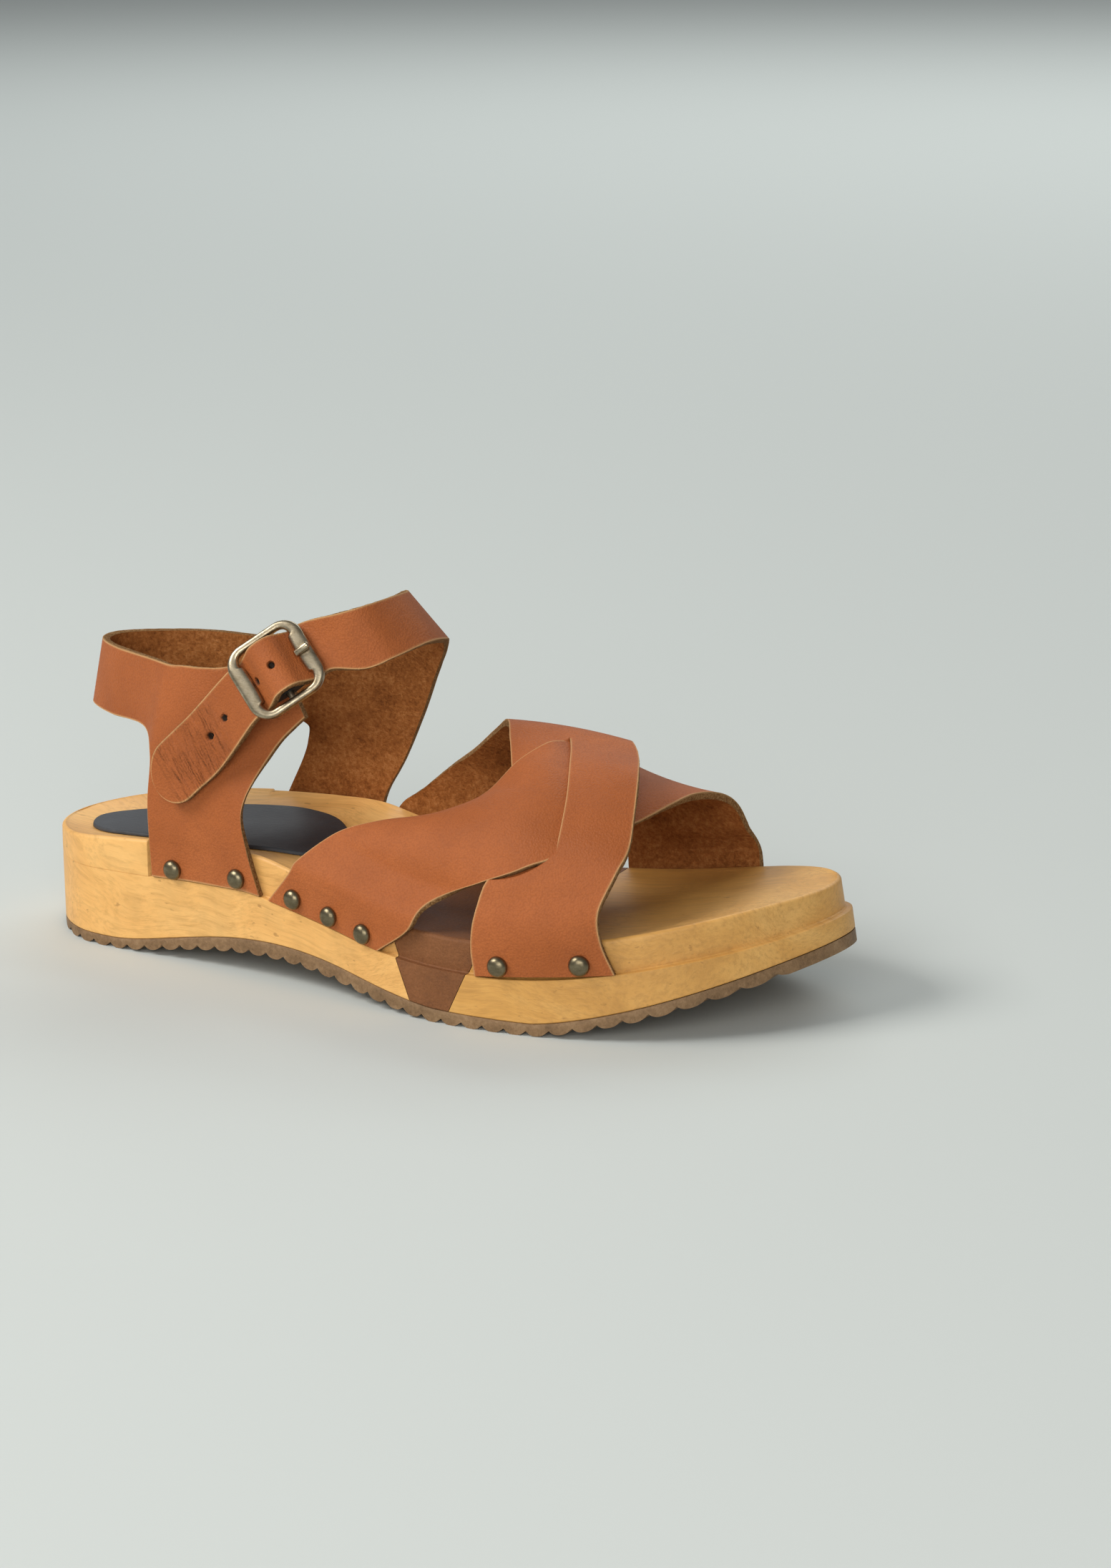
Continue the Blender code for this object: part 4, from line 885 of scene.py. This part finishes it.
# %% [markdown]
# ## The crossed front straps
# The rear strap lies over the front one, dives through a slit in it and comes out beneath. A thin-plate
# surface through the front strap gives its height anywhere, and the rear strap rides above or below it.

# %% Front straps
STRAP_FADE = 14.0           # the wall's hold fades out this far above the footbed


def foot_rows(name, side):
    rear_foot, front_foot, rear_above, front_above = STRAP_FEET[name]
    rows = []
    for rear, front, above in ((rear_foot, front_foot, False), (rear_above, front_above, True)):
        row = []
        for along in (rear, front):
            z = table_at(FOOTBED, along) if above else table_at(LEDGE, along) + GAP
            row += [along + HEEL_CENTRE, float(rebate_wall(along, side)), float(z)]
        rows.append([*row, 0.0])
    return np.array(rows)


def front_strap(table, letter, steps, shares):
    feet = foot_rows(letter + "_outer", -1), foot_rows(letter + "_inner", 1)[::-1]
    rows = np.vstack([feet[0], edge_points(table), feet[1]])
    return thicken(ruled(catmull(rows, steps), shares), STRAP_FADE)


def plate_fit(places, values, ease=0.5):
    """Thin-plate spline: r^2 log r round each place plus a plane. More ease gives a smoother surface."""
    gap = np.linalg.norm(places[:, None] - places[None], axis=2)
    kernel = np.where(gap > 0, gap**2 * np.log(np.maximum(gap, 1e-9)), 0.0) + np.eye(len(places)) * ease
    plane = np.column_stack([np.ones(len(places)), places])
    system = np.block([[kernel, plane], [plane.T, np.zeros((3, 3))]])
    return np.linalg.solve(system, np.vstack([values, np.zeros((3, values.shape[1]))]))


def plate_at(places, weights, x):
    gap = np.linalg.norm(x[:, None] - places[None], axis=2)
    kernel = np.where(gap > 0, gap**2 * np.log(np.maximum(gap, 1e-9)), 0.0)
    return np.column_stack([kernel, np.ones(len(x)), x]) @ weights


SLIT = 0.478                # where the slit runs, as a share of the front strap's breadth
BREADTH_B = 42.0
STEP = LEATHER + 0.3


def upper_fit(outer):
    """A strap's height, share, run and upward tilt over its plan, as one thin-plate surface."""
    rows, columns = outer.shape[:2]
    share, run = np.meshgrid(np.linspace(0, 1, columns), np.linspace(0, 1, rows))
    tilt = np.abs(sheet_normals(outer, 1)[..., 2])
    keep = slice(4, rows - 4)
    values = np.stack([outer[..., 2], share, run, tilt], -1)[keep].reshape(-1, 4)
    places = outer[keep, :, :2].reshape(-1, 2)
    return places, plate_fit(places, values)


def soft_min(a, b, width=0.4):
    """The lower of two values, rounded where they are close: -w log(exp(-a / w) + exp(-b / w))."""
    return -width * np.logaddexp(-a / width, -b / width)


def rear_strap_cap(ahead):
    """Most that the rear strap may stand over the front one: it slopes into the slit and stays under it."""
    return -0.9 - 0.44 * np.minimum(ahead, 0.0) - 1.6 * smooth(0.0, 6.0, ahead)


slit_shares = np.concatenate([[0.0, 0.010], np.linspace(0, SLIT, 42)[1:-1], [SLIT - 0.008, SLIT],
                              [SLIT + 0.0007, SLIT + 0.009], np.linspace(SLIT, 1, 46)[1:-1], [0.990, 1.0]])
torn = int(np.argmax(slit_shares > SLIT)) - 1
outer_a, inner_a = front_strap(STRAP_A, "A", 22, even_shares(64))
outer_b, inner_b = front_strap(STRAP_B, "B", 24, slit_shares)
fit_a = upper_fit(front_strap(STRAP_A, "A", 3, np.linspace(0, 1, 8))[0])
fit_b = upper_fit(front_strap(STRAP_B, "B", 3, np.linspace(0, 1, 8))[0])

height, share, run, tilt = plate_at(*fit_b, outer_a[..., :2].reshape(-1, 2)).T.reshape(4, *outer_a.shape[:2])
over = outer_a[..., 2] - height
crossing = smooth(-0.02, 0.08, run) * smooth(1.02, 0.92, run) * smooth(34.0, 44.0, outer_a[..., 2])
cap = rear_strap_cap((share - SLIT) * BREADTH_B)
move = crossing * smooth(1.5, 1.2, share) * (soft_min(over, cap) - over)
outer_a[..., 2] += move
inner_a[..., 2] += move

height, share, run, _ = plate_at(*fit_a, outer_b[..., :2].reshape(-1, 2)).T.reshape(4, *outer_b.shape[:2])
covered = (smooth(0.0, 0.05, share) * smooth(1.0, 0.93, share)
           * smooth(0.0, 0.08, run) * smooth(1.0, 0.92, run))
ahead = np.broadcast_to((slit_shares - SLIT) * BREADTH_B, covered.shape)
tilt = np.clip(np.abs(sheet_normals(outer_b)[..., 2]), 0.45, 1.0)
sink = np.minimum(0.0, soft_min(height - outer_b[..., 2], rear_strap_cap(ahead)) - STEP / tilt)
move = covered * np.where(ahead > 0.001, 0.45 * smooth(7.0, 0.0, ahead), sink)
outer_b[..., 2] += move
inner_b[..., 2] += move
slit_rim = covered * smooth(0.6, 0.1, ahead) * (ahead > 0.001)

strap_a = strap_solid("front_strap_rear", outer_a, inner_a, seed=3)
strap_b = strap_solid("front_strap_front", outer_b, inner_b, seed=60, torn=torn, rim=slit_rim)
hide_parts("front_straps")
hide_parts("front_straps")


# %% [markdown]
# ## Where the buckle sits
# The buckle lies askew on the outer side of the ankle. Its three directions are worked out once: along the
# strap, out of the frame and across. Strap, frame, prong and keeper are placed in them and stay together.

# %% Buckle axes
BUCKLE_CENTRE = np.array([63.6 + HEEL_CENTRE, -33.6, PATTERN_BASE + 76.0])
BUCKLE_U = unit((0.70, 0.46, 0.545))
BUCKLE_N = np.array([0.24, -0.84, 0.45])
BUCKLE_N = unit(BUCKLE_N - BUCKLE_U * (BUCKLE_N @ BUCKLE_U))
BUCKLE_W = np.cross(BUCKLE_N, BUCKLE_U)


def in_buckle(run, lift, across):
    """Place from the frame's centre: along the strap, out of the frame and across the strap."""
    run, lift, across = (np.asarray(v, float)[..., None] for v in (run, lift, across))
    return BUCKLE_CENTRE + BUCKLE_U * run + BUCKLE_N * lift + BUCKLE_W * across


# %% [markdown]
# ## The heel upper
# One piece of leather is nailed to both sides, goes round the heel as a band and turns into the ankle
# strap, which runs through the buckle and ends in a rounded, creased tongue on the outer side. It could be
# cut flat and draped, but ruled rows give the worn form in one pass. The two quarters are then refitted as
# smooth surfaces, because their rows fan out.

# %% Heel upper
QUARTER_STEPS, ANKLE_STEPS = 14, 20         # rows for each step of a table
FIRST_ROW = 4                               # rows left out at the outer quarter's front edge
OUTER_QUARTER = (-40, 122, 30)              # first row, last row and fade of each refit
INNER_QUARTER = (222, 418, 28)
QUARTER_FADE = 30.0                         # the wall's hold fades out this far above the footbed


def tongue_rows(row, ahead):
    """Half circle at the strap's end. Each row is centre + way * R sin(a), with half breadth R cos(a)."""
    low, high = row[:3], row[3:6]
    angle = np.radians(np.linspace(0, 87, 14))[:, None]
    half = (high - low) / 2
    centre = (low + high) / 2 + ahead * np.linalg.norm(half) * np.sin(angle)
    return np.column_stack([centre - half * np.cos(angle), centre + half * np.cos(angle), np.zeros(14)])


def heel_upper_rows():
    """All rows of the leather, from the outer quarter's front edge round the heel to the strap's tip."""
    rows = [catmull(edge_points(QUARTER_FRONT), QUARTER_STEPS)]
    for table in (QUARTER_FOOT, HEEL_BAND, INNER_FOOT):
        rows.append(catmull(edge_points(table), QUARTER_STEPS)[1:])
    way = np.array(BUCKLE_PASS) * BUCKLE_LENGTH / 2
    edges = [in_buckle(way[:, 0], way[:, 1], half) for half in (-STRAP_HALF, STRAP_HALF)]
    through = np.column_stack([*edges, np.zeros(len(way))])
    end = edge_points(STRAP_END)
    ahead = unit(end[1, :3] + end[1, 3:6] - end[0, :3] - end[0, 3:6])
    end = np.vstack([end, end[1] + np.concatenate([ahead, ahead, [0.0]]) * 3.5])
    ankle = catmull(np.vstack([edge_points(ANKLE_STRAP), through, end]), ANKLE_STEPS)
    return np.vstack([*rows, ankle[1:], tongue_rows(end[-1], ahead)[1:]])


def even_out(grid, normals, first, last, fade):
    """Refit the across place y of some rows as a smooth surface over x and z, and fade into it.

    The surface's normal is (-dy/dx, 1, -dy/dz), from steps of half a millimetre, turned to the flesh side.
    """
    rows = slice(max(first, 0), last)
    sample = grid[rows][::4, ::5].reshape(-1, 3)
    fit = plate_fit(sample[:, [0, 2]], sample[:, 1:2], ease=2500.0)
    flat = grid[rows][..., [0, 2]].reshape(-1, 2)
    y, ahead, higher = (plate_at(sample[:, [0, 2]], fit, flat + step).reshape(grid[rows].shape[:2])
                        for step in ((0.0, 0.0), (0.5, 0.0), (0.0, 0.5)))
    slope = np.stack([(y - ahead) / 0.5, np.ones_like(y), (y - higher) / 0.5], -1) * -np.sign(y.mean())
    slope /= np.linalg.norm(slope, axis=2)[..., None]
    number = np.arange(rows.start, last)[:, None]
    share = smooth(first, first + fade, number) * smooth(last, last - fade, number)
    grid[rows, :, 1] += share * (y - grid[rows][..., 1])
    normals[rows] += share[..., None] * (slope - normals[rows])
    normals[rows] /= np.linalg.norm(normals[rows], axis=2)[..., None]


HOLES = (25.2, 33.8, 51.0, 59.6)            # distance of the strap's holes from its tip
HOLE_RADIUS = 1.05

outer = ruled(heel_upper_rows()[FIRST_ROW:], even_shares(41), (0.0, 1.0, 0.0))
to_flesh = sheet_normals(outer)
even_out(outer, to_flesh, *OUTER_QUARTER)
even_out(outer, to_flesh, *INNER_QUARTER)
outer = hold_to_wall(outer, 0.0, QUARTER_FADE)
inner = hold_to_wall(outer + to_flesh * LEATHER, LEATHER, QUARTER_FADE)
middle = outer[:, outer.shape[1] // 2]
from_tip = np.concatenate([np.cumsum(np.linalg.norm(np.diff(middle[::-1], axis=0), axis=1))[::-1], [0.0]])
crease = smooth(36.0, 28.0, from_tip) * smooth(2.0, 9.0, from_tip)
hole = np.full(outer.shape[:2], NO_HOLE)
for place in HOLES:
    spot = middle[np.argmin(np.abs(from_tip - place))]
    near = np.abs(from_tip - place) < 6.0
    hole[near] = np.minimum(hole[near], np.linalg.norm(outer[near] - spot, axis=2))
outer = outer + sheet_normals(outer) * (1.3 * smooth(HOLE_RADIUS + 0.25, HOLE_RADIUS - 0.25, hole))[..., None]
heel_upper = strap_solid("heel_upper_leather", outer, inner, seed=120,
                         crease=np.broadcast_to(crease[:, None], hole.shape), hole=hole)
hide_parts("heel_upper")


# %% [markdown]
# ## The buckle
# It is a cast frame with a centre bar. A bevelled curve has one breadth all round, but the real bars are
# broad where they cross the strap and slim beside it. So a soft-cornered section is carried round a rounded
# rectangle, and its breadth changes on the way.

# %% Buckle
def tube(path, side_a, side_b, radius_a, radius_b, sides=32, closed=False, square=1.0):
    """Rings round a path: centre + side_a * ra * C + side_b * rb * S, where C and S are the cosine and sine
    to the power `square`, which fills the oval out to a bar with soft corners when it is below 1."""
    angle = np.linspace(0, 2 * np.pi, sides, endpoint=False)[None, :, None]
    cosine = np.sign(np.cos(angle)) * np.abs(np.cos(angle))**square
    sine = np.sign(np.sin(angle)) * np.abs(np.sin(angle))**square
    radius_a, radius_b = (np.broadcast_to(r, len(path))[:, None, None] for r in (radius_a, radius_b))
    rings = path[:, None] + side_a[:, None] * radius_a * cosine + side_b[:, None] * radius_b * sine
    points = rings.reshape(-1, 3)
    faces = grid_faces(len(path), sides, wrap_rows=closed, wrap_columns=True)
    if closed:
        return points, faces.tolist()
    ends = [list(range(sides)), list(range(len(points) - sides, len(points)))]
    return points, faces.tolist() + ends


def rounded_rectangle(half_u, half_w, radius, count):
    """Points and outward normals, evenly by angle round the corners and by length along the sides."""
    corner = np.linspace(0, np.pi / 2, count)
    places, normals = [], []
    for quarter, (su, sw) in enumerate(((1, 1), (-1, 1), (-1, -1), (1, -1))):
        angle = corner + quarter * np.pi / 2
        normal = np.column_stack([np.cos(angle), np.sin(angle)])
        places.append(np.array([su * (half_u - radius), sw * (half_w - radius)]) + normal * radius)
        normals.append(normal)
        following = np.array(((-1, 1), (-1, -1), (1, -1), (1, 1))[quarter])
        start = places[-1][-1]
        end = following * (half_u - radius, half_w - radius) + normal[-1] * radius
        t = np.linspace(0, 1, count + 2)[1:-1, None]
        places.append(start * (1 - t) + end * t)
        normals.append(np.repeat(normal[-1:], count, 0))
    return np.vstack(places), np.vstack(normals)


def buckle_frame():
    places, normals = rounded_rectangle(BUCKLE_LENGTH / 2, BUCKLE_BREADTH / 2, 6.4, 14)
    crossing = np.abs(normals[:, 0])
    middle = 1 - (np.abs(places[:, 1]) / (BUCKLE_BREADTH / 2))**2
    swell = np.where(crossing > 0.99, 0.55 + 0.45 * middle, 0.55 * crossing**2)
    breadth = BAR_NARROW + (BAR_WIDE - BAR_NARROW) * swell
    centre = places - normals * breadth[:, None] / 2
    path = in_buckle(centre[:, 0], 0.25 * np.sin(np.pi * (centre[:, 1] / BUCKLE_BREADTH + 0.5)), centre[:, 1])
    side = BUCKLE_U * normals[:, :1] + BUCKLE_W * normals[:, 1:]
    out = np.broadcast_to(BUCKLE_N, side.shape)
    return tube(path, side, out, breadth / 2, BUCKLE_BAR / 2, closed=True, square=0.72)


points, faces = buckle_frame()
frame_piece = make_piece("buckle_ring", points, faces, [SILVER], sharp=60.0)
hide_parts("buckle_frame")

span = np.linspace(-1, 1, 24) * (BUCKLE_BREADTH / 2 - BAR_NARROW / 2)
points, faces = tube(in_buckle(0 * span, 0 * span, span), np.broadcast_to(BUCKLE_U, (24, 3)),
                     np.broadcast_to(BUCKLE_N, (24, 3)), CENTRE_BAR / 2, CENTRE_BAR / 2)
pin = make_piece("buckle_centre_bar", points, faces, [SILVER])
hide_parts("buckle_frame")

# %% [markdown]
# ## The prong's end
# The prong comes up through a hole of the strap and rests on the front bar. Only its end shows, so it is a
# short tube along an arched line that rounds off at the tip.

# %% Prong
half = BUCKLE_LENGTH / 2
t = np.linspace(0, 1, 16)
way = in_buckle((0.60 + 0.39 * t) * half, (0.16 + 0.075 * t + 0.02 * np.sin(np.pi * t)) * half, 0 * t)
swell = np.sqrt(np.clip(1 - np.clip((t - 0.85) / 0.16, 0, 1)**2, 0.02, 1))
points, faces = tube(way, np.broadcast_to(BUCKLE_W, (16, 3)), np.broadcast_to(BUCKLE_N, (16, 3)),
                     1.05 * swell, 0.9 * swell, sides=20)
prong = make_piece("prong_end", points, faces, [SILVER])
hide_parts("buckle_prong")

# %% [markdown]
# ## The keeper
# A near-black ring is looped round the centre bar and fills the space under the strap's arch; its colour is
# painted shade for that shadowed space. A folded sheet would hardly show there, so it is a flattened ring
# with solid end faces, left bare.

# %% Keeper
reach = 8.2
angle = np.linspace(0, 2 * np.pi, 64, endpoint=False)
section = [(1.25, 1.25, -reach), (5.8, 1.95, -reach), (5.8, 1.95, reach), (1.25, 1.25, reach)]
rings = [in_buckle(run * np.cos(angle), lift * np.sin(angle), np.full(64, side))
         for run, lift, side in section]
keeper = make_piece("keeper_loop", np.stack(rings, 1).reshape(-1, 3),
                    grid_faces(64, 4, wrap_rows=True, wrap_columns=True), [KEEPER_SHADE], sharp=35.0)
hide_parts("buckle_keeper")

# %% [markdown]
# ## Dome tacks
# Each head is a profile turned round the nail: a quarter oval that ends in a thin rolled rim on the leather.

# %% Tacks
TACKS = [
    # along, height above the rebate, side
    (26.0, 3.2, -1), (50.3, 3.7, -1), (71.9, 4.1, -1), (85.9, 3.9, -1), (99.2, 3.5, -1), (145.4, 3.9, -1),
    (168.8, 4.1, -1), (25.0, 3.5, 1), (49.0, 3.7, 1), (66.0, 3.9, 1), (81.5, 3.9, 1), (97.0, 3.7, 1),
    (147.0, 3.9, 1), (171.0, 4.1, 1)]
TACK_RADIUS, TACK_DOME = 3.0, 1.8
for number, (along, height, side) in enumerate(TACKS, 1):
    near = np.array([along - 2.0, along, along + 2.0])
    wall = np.column_stack([near + HEEL_CENTRE, rebate_wall(near, side), np.zeros(3)])
    tangent = unit(wall[2] - wall[0])
    normal = np.array([-tangent[1], tangent[0], 0.0]) * side
    base = wall[1] + normal * 0.2
    base[2] = table_at(LEDGE, along) + height
    slope = np.linspace(0, np.pi / 2, 14)
    radius = np.concatenate([[0.0, TACK_RADIUS * 0.95, TACK_RADIUS], TACK_RADIUS * np.cos(slope)[1:]**0.85])
    lift = np.concatenate([[0.0, 0.0, 0.18], 0.18 + (TACK_DOME + 0.2) * np.sin(slope)[1:]])
    turn_round = np.linspace(0, 2 * np.pi, 48, endpoint=False)
    spoke = tangent * np.cos(turn_round)[:, None] + np.array([0, 0, 1.0]) * np.sin(turn_round)[:, None]
    rings = base + normal * lift[:, None, None] + spoke[None] * radius[:, None, None]
    tack = make_piece(f"dome_tack_{number:02d}", rings.reshape(-1, 3),
                      grid_faces(len(radius), 48, wrap_columns=True), [BRASS], sharp=45.0)
    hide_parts(f"tack_{number:02d}")

# %% [markdown]
# ## Floor and light
# A pale floor fills the frame. One large soft window lights from the left and above, a weaker one from the
# front, and a third lights the floor far behind. An even sky keeps the shadows open. Area lights are used,
# because their size alone softens the shadows.

# %% Stage
floor_mesh = bpy.data.meshes.new("floor")
floor_mesh.from_pydata([(-15, -15, 0), (15, -15, 0), (15, 15, 0), (-15, 15, 0)], [], [(0, 1, 2, 3)])
floor = bpy.data.objects.new("floor", floor_mesh)
bpy.context.scene.collection.objects.link(floor)
f = Finish("paper_floor", roughness=0.9, specular_ior_level=0.1)
floor_mesh.materials.append(f.wear((0.61, 0.640, 0.615, 1.0)))

world = bpy.data.worlds.new("sky")
world.use_nodes = True
world.node_tree.nodes["Background"].inputs["Color"].default_value = (0.93, 0.97, 1.0, 1.0)
world.node_tree.nodes["Background"].inputs["Strength"].default_value = 0.26
bpy.context.scene.world = world


def soft_light(name, place, aim, size, power, colour):
    data = bpy.data.lights.new(name, "AREA")
    data.shape = "RECTANGLE"
    data.size, data.size_y = size
    data.energy = power
    data.color = colour
    light = bpy.data.objects.new(name, data)
    light.location = place
    light.rotation_mode = "QUATERNION"
    light.rotation_quaternion = (Vector(aim) - Vector(place)).to_track_quat("-Z", "Y")
    bpy.context.scene.collection.objects.link(light)


soft_light("window", (-1.1, -1.05, 1.55), (0.08, 0.0, 0.05), (1.2, 0.9), 33.0, (1.0, 0.98, 0.95))
soft_light("fill", (0.8, -1.8, 0.8), (0.1, 0.0, 0.05), (1.6, 1.0), 20.0, (1.0, 0.98, 0.95))
soft_light("backdrop", (-0.4, 3.0, 2.4), (-0.4, 2.4, 0.0), (4.0, 2.0), 66.0, (0.97, 1.0, 1.0))

# %% Finish
bpy.context.view_layer.update()
